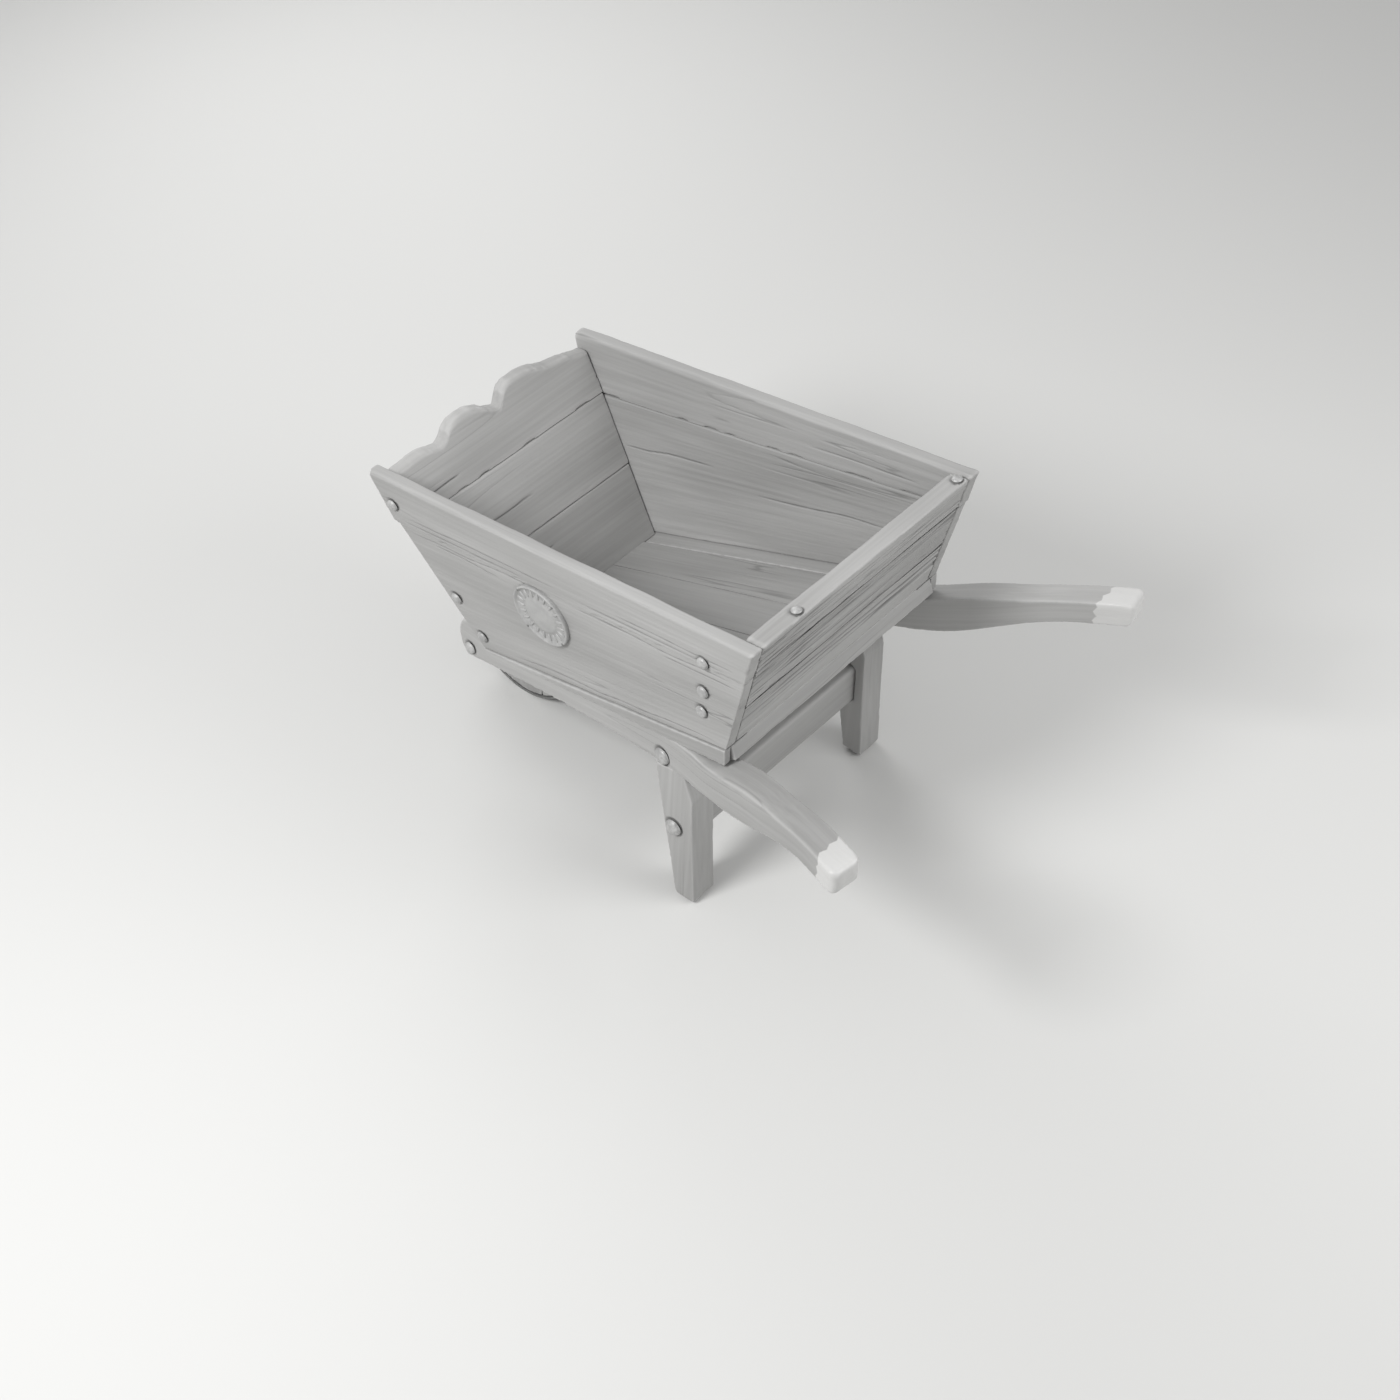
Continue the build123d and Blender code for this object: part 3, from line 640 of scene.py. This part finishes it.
def wander(places, seed, wavelength):
    """A smooth seeded line between -1 and 1: three waves whose heights 1, 1/2 and 1/3 sum to WAVES_SUM."""
    rng = np.random.default_rng(seed)
    total = 0
    for k in range(1, 4):
        total = total + np.sin(2 * math.pi * (places * k / wavelength + rng.random())) / k
    return total / WAVES_SUM


def sizes_of(corners):
    return [np.linalg.norm(np.diff(corners, axis=k), axis=-1).mean() for k in range(3)]


def furrowed(shares, low, high):
    """1 on the outer face between two heights, and 0 elsewhere."""
    fade_in, fade_out = (shares[:, 1] - low) / FADE, (high - shares[:, 1]) / FADE
    return np.clip(fade_in, 0, 1) * np.clip(fade_out, 0, 1) * np.clip(shares[:, 2] * 3 - 2, 0, 1)


def board_object(name, corners, seed, edge, foot_edge, reshape=None, furrows=None):
    """edge is how round the board's edges are, and foot_edge how round they are at its foot."""
    size = np.array(sizes_of(corners))
    steps = (ALONG_STEP, ACROSS_STEP, THROUGH_STEP)
    sides = [ticks(length, step, edge) for length, step in zip(size, steps)]
    points, faces = block_shell(sides)
    roundness = foot_edge + (edge - foot_edge) * points[:, 1] / size[1]
    radius = (roundness * (0.78 + 0.22 * wander(points[:, 0] + points[:, 1], seed, 0.31)))[:, None]
    inner = np.clip(points, radius, size - radius)
    away = points - inner
    points = inner + away * (radius / np.maximum(np.linalg.norm(away, axis=1, keepdims=True), 1e-9))
    shares = points / size
    if reshape:
        shares = reshape(shares)
    span = [np.diff(corners, axis=k).mean((0, 1, 2)) for k in range(3)]
    if np.linalg.det(span) < 0:
        faces = faces[:, ::-1]
    mesh = bpy.data.meshes.new(name)
    mesh.from_pydata(within(corners, shares).tolist(), [], faces.tolist())
    attribute_values(mesh, "timber", "FLOAT_VECTOR", shares * size + np.array([1.7, 0.43, 0.61]) * seed)
    if furrows:
        attribute_values(mesh, "furrowed", "FLOAT", furrowed(shares, *furrows))
    return bpy.data.objects.new(name, mesh)


# %% [markdown]
# ## Which boards there are
# The tray has four walls and a floor. In each wall the boards run lengthways, so every board's length,
# height and thickness point roughly the same way as its wall's, and only those rough directions are
# written here. Left and right walls mirror each other.

# %% The tray's boards
def side_directions(mirror, share):
    up = (0.03 * mirror * share, -0.10 * share, 0.33 * share)
    return ((0.02 * mirror, 0.80, 0.17), up, (0.03 * mirror, 0, 0))


BOARDS = {}
for side, mirror in (("left", 1), ("right", -1)):
    BOARDS[f"{side}_lower_board"] = side_directions(mirror, 0.7)
    BOARDS[f"{side}_top_board"] = side_directions(mirror, 0.3)
for height in ("lower", "middle", "top"):
    BOARDS[f"front_{height}_board"] = ((0.52, 0, 0), (0, -0.087, 0.134), (0, -0.029, 0))
    BOARDS[f"rear_{height}_board"] = ((0.59, 0, 0), (0, 0.017, 0.106), (0, 0.028, 0.005))
for k in range(1, 5):
    BOARDS[f"floor_plank_{k}"] = ((0, 0.64, 0.21), (0.13, 0, 0), (0, 0, -0.021))
CORNERS = {name: corners_of(name, *directions) for name, directions in BOARDS.items()}
for name, corners in CORNERS.items():
    print(name, "is", " x ".join(f"{1000 * size:.0f}" for size in sizes_of(corners)), "mm")

# %% [markdown]
# ## The splits
# Some checks have opened into real splits that a finger could follow. Each is marked by its board, the
# face it is on (0 inside, 1 outside), where it starts and ends along the board, and its height. The
# marks become thin wavy lines that lie on the boards, and the carving tree cuts along them. They fade
# out at both ends, as splits do.

# %% Mark the splits
SPLITS = {
    "right_lower_board": ((0, 0.05, 0.34, 0.66), (0, 0.46, 0.86, 0.52), (1, 0.25, 0.80, 0.55)),
    "right_top_board": ((0, 0.62, 0.90, 0.35), (1, 0.1, 0.6, 0.3)),
    "left_lower_board": ((1, 0.03, 0.46, 0.95), (1, 0.10, 0.30, 0.91), (1, 0.52, 0.97, 0.94),
                         (1, 0.78, 0.98, 0.88), (1, 0.16, 0.97, 0.06), (0, 0.2, 0.7, 0.5)),
    "left_top_board": ((1, 0.03, 0.40, 0.12), (1, 0.06, 0.50, 0.24), (1, 0.55, 0.96, 0.14),
                       (1, 0.66, 0.97, 0.27), (0, 0.3, 0.8, 0.4)),
    "front_lower_board": ((0, 0.52, 0.80, 0.70), (1, 0.1, 0.6, 0.4)),
    "front_middle_board": ((0, 0.50, 0.78, 0.42), (1, 0.3, 0.8, 0.6)),
    "front_top_board": ((0, 0.76, 0.96, 0.30), (1, 0.2, 0.7, 0.3)),
    "rear_middle_board": ((1, 0.02, 0.98, 0.35), (1, 0.10, 0.95, 0.70), (0, 0.2, 0.8, 0.5)),
    "rear_lower_board": ((1, 0.05, 0.80, 0.75), (1, 0.3, 0.98, 0.45)),
    "rear_top_board": ((0, 0.1, 0.5, 0.5),),
}


def split_lines():
    places, edges, strengths = [], [], []
    for name, splits in SPLITS.items():
        for number, (face, start, end, height) in enumerate(splits):
            steps = max(8, round((end - start) * sizes_of(CORNERS[name])[0] / (6 * MM)))
            along = np.linspace(start, end, steps)
            drift = height + 0.018 * wander(along, number + len(places), 0.5)
            shares = np.stack([along, drift, np.full(steps, float(face))], -1)
            edges += [(len(places) + k, len(places) + k + 1) for k in range(steps - 1)]
            places += within(CORNERS[name], shares).tolist()
            fade = np.minimum(along - start, end - along) / (end - start)
            strengths += np.clip(fade / 0.18, 0, 1).tolist()
    mesh = bpy.data.meshes.new("split_marks")
    mesh.from_pydata(places, edges, [])
    attribute_values(mesh, "strength", "FLOAT", strengths)
    return link(bpy.data.objects.new("split_marks", mesh))


split_marks = split_lines()
print(len(split_marks.data.vertices), "points along the splits")

# %% [markdown]
# ## Carve the tray
# Every board is built and sent through the carving tree. The front wall's top board first gets its worn
# outline, which is read from the solid: its height above the board's lower edge at each place across
# the barrow. The rear wall is the most weathered, so its grain is cut deepest and its outer face is
# furrowed. The front wall is the least weathered. Sizes in these recipes are in metres.

# %% Carve the tray's boards
def worn_outline(node, corners):
    """Gives the share of the board's full height that is left at each share of its length."""
    points = np.array([v.co for v in NODES[node].data.vertices])
    foot = corners[:, 0].reshape(-1, 3)
    x_low, x_high = foot[:, 0].min(), foot[:, 0].max()
    stations = np.linspace(x_low, x_high, 90)
    reach = (x_high - x_low) / 60
    tops = [points[abs(points[:, 0] - x) < reach, 2].max() for x in stations]
    return stations, np.array(tops)


def front_top_corners():
    """The front wall's top board as it was before it wore away: it carries on from the board below."""
    corners = CORNERS["front_top_board"].copy()
    below = CORNERS["front_middle_board"]
    lean = below[:, 1] - below[:, 0]
    _, tops = worn_outline("front_top_board", corners)
    rise = (tops.max() - corners[:, 0, :, 2]) / lean[..., 2]
    corners[:, 1] = corners[:, 0] + lean * rise[..., None]
    return corners


def wear_top(shares):
    corners = CORNERS["front_top_board"]
    stations, tops = worn_outline("front_top_board", corners)
    full = within(corners, np.stack([shares[:, 0], np.ones(len(shares)), shares[:, 2]], -1))
    foot = within(corners, np.stack([shares[:, 0], np.zeros(len(shares)), shares[:, 2]], -1))
    left = (np.interp(full[:, 0], stations, tops) - foot[:, 2]) / (full[:, 2] - foot[:, 2])
    worn = shares.copy()
    worn[:, 1] = shares[:, 1] * np.clip(left, 0, 1)
    return worn


CORNERS["front_top_board"] = front_top_corners()
DEEP_GRAIN = {"Ridge depth": 0.0042, "Grain depth": 0.0012}
SMOOTH_FLOOR = {"Hollow depth": 0.0012, "Check depth": 0.0010}
TOP_EDGE, BOARD_EDGE, JOINT_EDGE, FLOOR_EDGE = 11 * MM, 6 * MM, 3 * MM, 2.5 * MM
SOFT_GRAIN = {"Grain depth": 0.0003, "Check depth": 0.0006, "Hollow depth": 0.0012}
FURROWED = {"rear_lower_board": (0.25, 2), "rear_middle_board": (-1, 2), "rear_top_board": (-1, 0.85)}


def carve(working, name, material, **changes):
    values = {"Heads": all_heads, "Splits": split_marks, "Material": material, **changes}
    return grown(working, CARVE, values, name)


for seed, (name, corners) in enumerate(CORNERS.items()):
    edges, material, changes = (BOARD_EDGE, JOINT_EDGE), TIMBER, {}
    if "top" in name:
        edges = (TOP_EDGE, JOINT_EDGE)
    if name.startswith("floor"):
        edges, changes = (FLOOR_EDGE, FLOOR_EDGE), SMOOTH_FLOOR
    if name.startswith("rear"):
        material, changes = RIDGED_TIMBER, DEEP_GRAIN
    if name.startswith("front"):
        material, changes = CALM_TIMBER, SOFT_GRAIN
    reshape = wear_top if name == "front_top_board" else None
    working = board_object(name + "_work", corners, seed + 1, *edges, reshape, FURROWED.get(name))
    stands_for(carve(working, name + ".worn", material, **changes), "weathered_timber", name)

# %% [markdown]
# ## The hewn timbers
# Rails, legs, brace, sills, bolsters, cleats, brackets and the wheel's baulks are hewn, not sawn, so they
# are cut from the solids themselves. A copy is merged and remeshed into an even skin of small squares,
# and a few rounds of smoothing take its edges off as an adze would. The grain follows each timber: along
# a rail it bends with the handle, because such rails were chosen from grown bends.

# %% Rebuild a hewn timber as an even skin
def even_skin(node, cell, rounds):
    shell = merged_copy(node)
    mesh = bpy.data.meshes.new(node + "_work")
    shell.to_mesh(mesh)
    shell.free()
    working = link(bpy.data.objects.new(node + "_work", mesh))
    remesh = working.modifiers.new("even skin", "REMESH")
    remesh.mode = "VOXEL"
    remesh.voxel_size = cell
    smooth = working.modifiers.new("worn edges", "SMOOTH")
    smooth.factor = 0.5
    smooth.iterations = rounds
    graph = bpy.context.evaluated_depsgraph_get()
    skin = bpy.data.meshes.new_from_object(working.evaluated_get(graph), depsgraph=graph)
    bpy.data.objects.remove(working)
    return bpy.data.objects.new(node + "_skin", skin)


def positions(mesh):
    values = np.empty(len(mesh.vertices) * 3, np.float32)
    mesh.vertices.foreach_get("co", values)
    return values.reshape(-1, 3)


def rail_grain(points):
    """Along the rail, above its middle line and beside it, so that the grain bends with the rail."""
    stations = np.linspace(points[:, 1].min(), points[:, 1].max(), 60)
    reach = stations[1] - stations[0]
    slices = [points[abs(points[:, 1] - y) < reach] for y in stations]
    middle_z = np.interp(points[:, 1], stations, [(s[:, 2].min() + s[:, 2].max()) / 2 for s in slices])
    middle_x = np.interp(points[:, 1], stations, [(s[:, 0].min() + s[:, 0].max()) / 2 for s in slices])
    return np.stack([points[:, 1], points[:, 2] - middle_z, points[:, 0] - middle_x], -1)


def straight_grain(direction):
    first = Vector(direction).normalized()
    second = first.orthogonal().normalized()
    axes = np.array([first, second, first.cross(second)])
    return lambda points: points @ axes.T


UPRIGHT, CROSSWISE = straight_grain((0, 0, 1)), straight_grain((1, 0, 0))
LEG_GRAIN, CLEAT_GRAIN = straight_grain((0, 0.05, 1)), straight_grain((0, 0.15, 1))
BRACKET_GRAIN = straight_grain((0, 0.7, 0.7))
# Each timber has the size of its skin's squares in millimetres, its rounds of smoothing and its grain.
HEWN = {
    "left_rail": (3.0, 16, rail_grain), "right_rail": (3.0, 16, rail_grain),
    "left_leg": (2.6, 12, LEG_GRAIN), "right_leg": (2.6, 12, LEG_GRAIN),
    "leg_brace": (3.0, 8, CROSSWISE),
    "left_sill": (2.6, 3, straight_grain((0.09, 0.945, 0.31))),
    "right_sill": (2.6, 3, straight_grain((-0.09, 0.945, 0.31))),
    "rear_sill": (3.0, 4, CROSSWISE),
    "front_bolster": (4.0, 3, CROSSWISE), "middle_bolster": (4.0, 3, CROSSWISE),
    "rear_bolster": (4.0, 3, CROSSWISE),
    "left_rear_cleat": (3.5, 3, CLEAT_GRAIN), "right_rear_cleat": (3.5, 3, CLEAT_GRAIN),
    "left_axle_bracket": (3.5, 4, BRACKET_GRAIN), "right_axle_bracket": (3.5, 4, BRACKET_GRAIN),
    "wheel_plank_front": (3.5, 3, UPRIGHT), "wheel_plank_middle": (3.5, 3, UPRIGHT),
    "wheel_plank_rear": (3.5, 3, UPRIGHT),
}

# %% Carve the hewn timbers
HEWN_SURFACE = {"Chip depth": 0.0010, "Hollow depth": 0.0018, "Check depth": 0.0008}
for seed, (name, (cell, rounds, grain)) in enumerate(HEWN.items()):
    working = even_skin(name, cell * MM, rounds)
    coordinates = grain(positions(working.data)) + np.array([0.9, 0.37, 0.53]) * (seed + 20)
    attribute_values(working.data, "timber", "FLOAT_VECTOR", coordinates)
    material = RAIL_TIMBER if name.endswith("_rail") else CALM_TIMBER
    stands_for(carve(working, name + ".worn", material, **HEWN_SURFACE), "weathered_timber", name)

# %% [markdown]
# ## Forged heads
# A smith draws the shank, then strikes the head into a low dome, which leaves it slightly uneven. One
# Geometry Nodes tree sets the same nail on every point of a cloud, turned to face out of the wood. The
# head is a ball whose lower half is pressed flat, so it stays a closed shape. Its sizes are the inputs,
# and they are measured from the solids, so nails, rivets and bolts all come from this one tree. A group
# shares its shortest shank, so that no tip comes out of the wood.

# %% Nail tree
NAIL_INPUTS = (("Head radius", 0.013), ("Dome height", 0.008), ("Shank radius", 0.0035),
               ("Shank length", 0.06), ("Hammer marks", 0.0008), ("Seed", 1))


def nail_tree():
    tree, given = new_geometry_tree("Forged nails", NAIL_INPUTS)
    ball = add(tree, "GeometryNodeMeshUVSphere", {"Segments": 28, "Rings": 16, "Radius": 1.0}).outputs[0]
    where = add(tree, "ShaderNodeSeparateXYZ", {0: add(tree, "GeometryNodeInputPosition").outputs[0]})
    upper = maths(tree, "MAXIMUM", where.outputs["Z"], 0.0)
    flat_top = maths(tree, "POWER", upper, 0.85)
    dome = add(tree, "ShaderNodeCombineXYZ", {
        "X": maths(tree, "MULTIPLY", where.outputs["X"], given["Head radius"]),
        "Y": maths(tree, "MULTIPLY", where.outputs["Y"], given["Head radius"]),
        "Z": maths(tree, "MULTIPLY", flat_top, given["Dome height"])}).outputs[0]
    head = add(tree, "GeometryNodeSetPosition", {"Geometry": ball, "Position": dome}).outputs[0]
    shank = add(tree, "GeometryNodeMeshCylinder", {"Vertices": 12, "Radius": given["Shank radius"],
                                                   "Depth": given["Shank length"]}).outputs["Mesh"]
    half_down = maths(tree, "MULTIPLY", given["Shank length"], -0.5)
    drop = add(tree, "ShaderNodeCombineXYZ", {"Z": half_down}).outputs[0]
    shank = add(tree, "GeometryNodeTransform", {"Geometry": shank, "Translation": drop}).outputs[0]
    nail = add(tree, "GeometryNodeJoinGeometry")
    for part in (head, shank):
        tree.links.new(part, nail.inputs[0])
    facing = named(tree, "facing", "FLOAT_VECTOR")
    turned = add(tree, "FunctionNodeAlignRotationToVector", {"Vector": facing}, axis="Z").outputs[0]
    placed = add(tree, "GeometryNodeInstanceOnPoints",
                 {"Points": given["Geometry"], "Instance": nail.outputs[0], "Rotation": turned}).outputs[0]
    real = add(tree, "GeometryNodeRealizeInstances", {"Geometry": placed}).outputs[0]
    spot = add(tree, "GeometryNodeInputPosition").outputs[0]
    marks = add(tree, "ShaderNodeTexNoise",
                {"Vector": spot, "W": given["Seed"], "Scale": 95.0, "Detail": 1.0},
                noise_dimensions="4D").outputs[0]
    depth = maths(tree, "MULTIPLY", marks, maths(tree, "MULTIPLY", given["Hammer marks"], -1.0))
    normal = add(tree, "GeometryNodeInputNormal").outputs[0]
    inward = add(tree, "ShaderNodeVectorMath", {0: normal, "Scale": depth}, operation="SCALE").outputs[0]
    hammered = add(tree, "GeometryNodeSetPosition", {"Geometry": real, "Offset": inward}).outputs[0]
    close_tree(tree, hammered, given["Material"])
    return tree


NAIL = nail_tree()

# %% Forge every headed pin
HAMMER_SHARE = 0.07
for seed, (name, pins) in enumerate(PINS.items()):
    first = pins[0]
    sizes = {"Head radius": first["radius"], "Dome height": first["dome"], "Shank radius": first["shank"],
             "Shank length": min(pin["length"] for pin in pins),
             "Hammer marks": HAMMER_SHARE * first["radius"]}
    values = {key: float(size) for key, size in sizes.items()}
    values.update({"Seed": seed + 1, "Material": IRON})
    forged = grown(point_cloud(name + "_points", pins), NAIL, values, name + ".forged")
    stands_for(forged, "forged_iron", name)

# %% [markdown]
# ## The badge
# The round badge on the left wall is a turned plate with a thin raised rim and a plain boss in its middle.
# The plate's outline is turned around its axis, and a Geometry Nodes tree sets short bars evenly around
# the boss, because they repeat.

# %% Badge tree
BADGE_INPUTS = (("Bars", 20), ("Bar ring", 0.0535), ("Bar length", 0.0095), ("Bar width", 0.0034),
                ("Relief", 0.0030), ("Field", -0.004))


def ring_of(tree, count, radius, shape):
    """The same shape set evenly around a circle, each copy turned to point outwards."""
    circle = add(tree, "GeometryNodeMeshCircle", {"Vertices": count, "Radius": radius}).outputs[0]
    spot = add(tree, "GeometryNodeInputPosition").outputs[0]
    turned = add(tree, "FunctionNodeAlignRotationToVector", {"Vector": spot}, axis="X").outputs[0]
    return add(tree, "GeometryNodeInstanceOnPoints", {"Points": circle, "Instance": shape,
                                                      "Rotation": turned}).outputs[0]


def badge_tree():
    tree, given = new_geometry_tree("Ring of bars", BADGE_INPUTS)
    ball = add(tree, "GeometryNodeMeshUVSphere", {"Segments": 20, "Rings": 10, "Radius": 1.0}).outputs[0]
    scale = add(tree, "ShaderNodeCombineXYZ", {"X": given["Bar length"], "Y": given["Bar width"],
                                               "Z": given["Relief"]}).outputs[0]
    sunk = add(tree, "ShaderNodeCombineXYZ", {"Z": given["Field"]}).outputs[0]
    bar = add(tree, "GeometryNodeTransform",
              {"Geometry": ball, "Scale": scale, "Translation": sunk}).outputs[0]
    joined = add(tree, "GeometryNodeJoinGeometry")
    for part in (given["Geometry"], ring_of(tree, given["Bars"], given["Bar ring"], bar)):
        tree.links.new(part, joined.inputs[0])
    close_tree(tree, joined.outputs[0], given["Material"])
    return tree


BADGE = badge_tree()

# %% Turn the plate and set it on the wall
badge_pins = [measure_pin(solid) for solid in separate_solids("badge_pins")]
badge_centre = Vector(np.mean([pin["base"] for pin in badge_pins], axis=0))
badge_facing = Vector(np.mean([pin["axis"] for pin in badge_pins], axis=0)).normalized()
badge_points = np.array([v.co for v in NODES["badge"].data.vertices]) - np.array(badge_centre)
badge_heights = badge_points @ np.array(badge_facing)
badge_flat = badge_points - badge_heights[:, None] * np.array(badge_facing)
BADGE_RADIUS = float(np.linalg.norm(badge_flat, axis=1).max())
BADGE_BACK = float(badge_heights.min())
FIELD = -4 * MM
BOSS = 0.58 * BADGE_RADIUS
RIM_FOOT = BADGE_RADIUS - 6.4 * MM
BACK = ((0, BADGE_BACK), (BADGE_RADIUS - 1 * MM, BADGE_BACK), (BADGE_RADIUS, BADGE_BACK + 1 * MM))
RIM = ((BADGE_RADIUS, -1.8 * MM), (BADGE_RADIUS - 1.2 * MM, -0.4 * MM), (BADGE_RADIUS - 3.2 * MM, 0),
       (BADGE_RADIUS - 5 * MM, -0.6 * MM), (RIM_FOOT, FIELD))
MIDDLE = ((BOSS, FIELD), (BOSS - 1.5 * MM, FIELD + 1.4 * MM), (BOSS - 5 * MM, FIELD + 2 * MM),
          (0, FIELD + 2.6 * MM))
TURNING_STEPS = 72


def turned_plate(outline, turns):
    shell = bmesh.new()
    ring = [shell.verts.new((radius, 0, height)) for radius, height in outline]
    for first, second in zip(ring, ring[1:]):
        shell.edges.new((first, second))
    bmesh.ops.spin(shell, geom=shell.verts[:] + shell.edges[:], cent=(0, 0, 0), axis=(0, 0, 1),
                   angle=2 * math.pi, steps=turns, use_merge=True)
    bmesh.ops.remove_doubles(shell, verts=shell.verts, dist=1e-6)
    bmesh.ops.recalc_face_normals(shell, faces=shell.faces)
    mesh = bpy.data.meshes.new("badge_plate")
    shell.to_mesh(mesh)
    shell.free()
    return bpy.data.objects.new("badge_plate", mesh)


badge_values = {"Material": BADGE_METAL, "Bar ring": (RIM_FOOT + BOSS) / 2, "Field": FIELD}
badge = grown(turned_plate(BACK + RIM + MIDDLE, TURNING_STEPS), BADGE, badge_values, "badge.turned")
to_wall = badge_facing.to_track_quat("Z", "Y").to_matrix().to_4x4()
badge.data.transform(Matrix.Translation(badge_centre) @ to_wall)
stands_for(badge, "badge_plate", "badge")

# %% [markdown]
# ## The pieces that keep their solids
# Tyre, hub plates, axle, washers, nuts and pegs are plain shapes that are right as they are. They take a
# finish: iron for the metal, and wood whose grain runs in the object's own coordinates for the pegs.

# %% Paint the remaining solids
replaced = {node for piece in PIECES for node in piece["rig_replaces"]}
for name, thing in NODES.items():
    if name in replaced:
        continue
    thing.data.materials.clear()
    thing.data.materials.append(PLAIN_TIMBER if name in ("floor_pegs", "sill_pegs") else DULL_IRON)
    print(name, "keeps its solid")

# %% [markdown]
# ## Finish
# The marks have done their work and are removed.

# %% Clear the marks and count the faces
for marks in (all_heads, split_marks):
    bpy.data.objects.remove(marks)
print("faces in all:", sum(len(piece.data.polygons) for piece in PIECES))
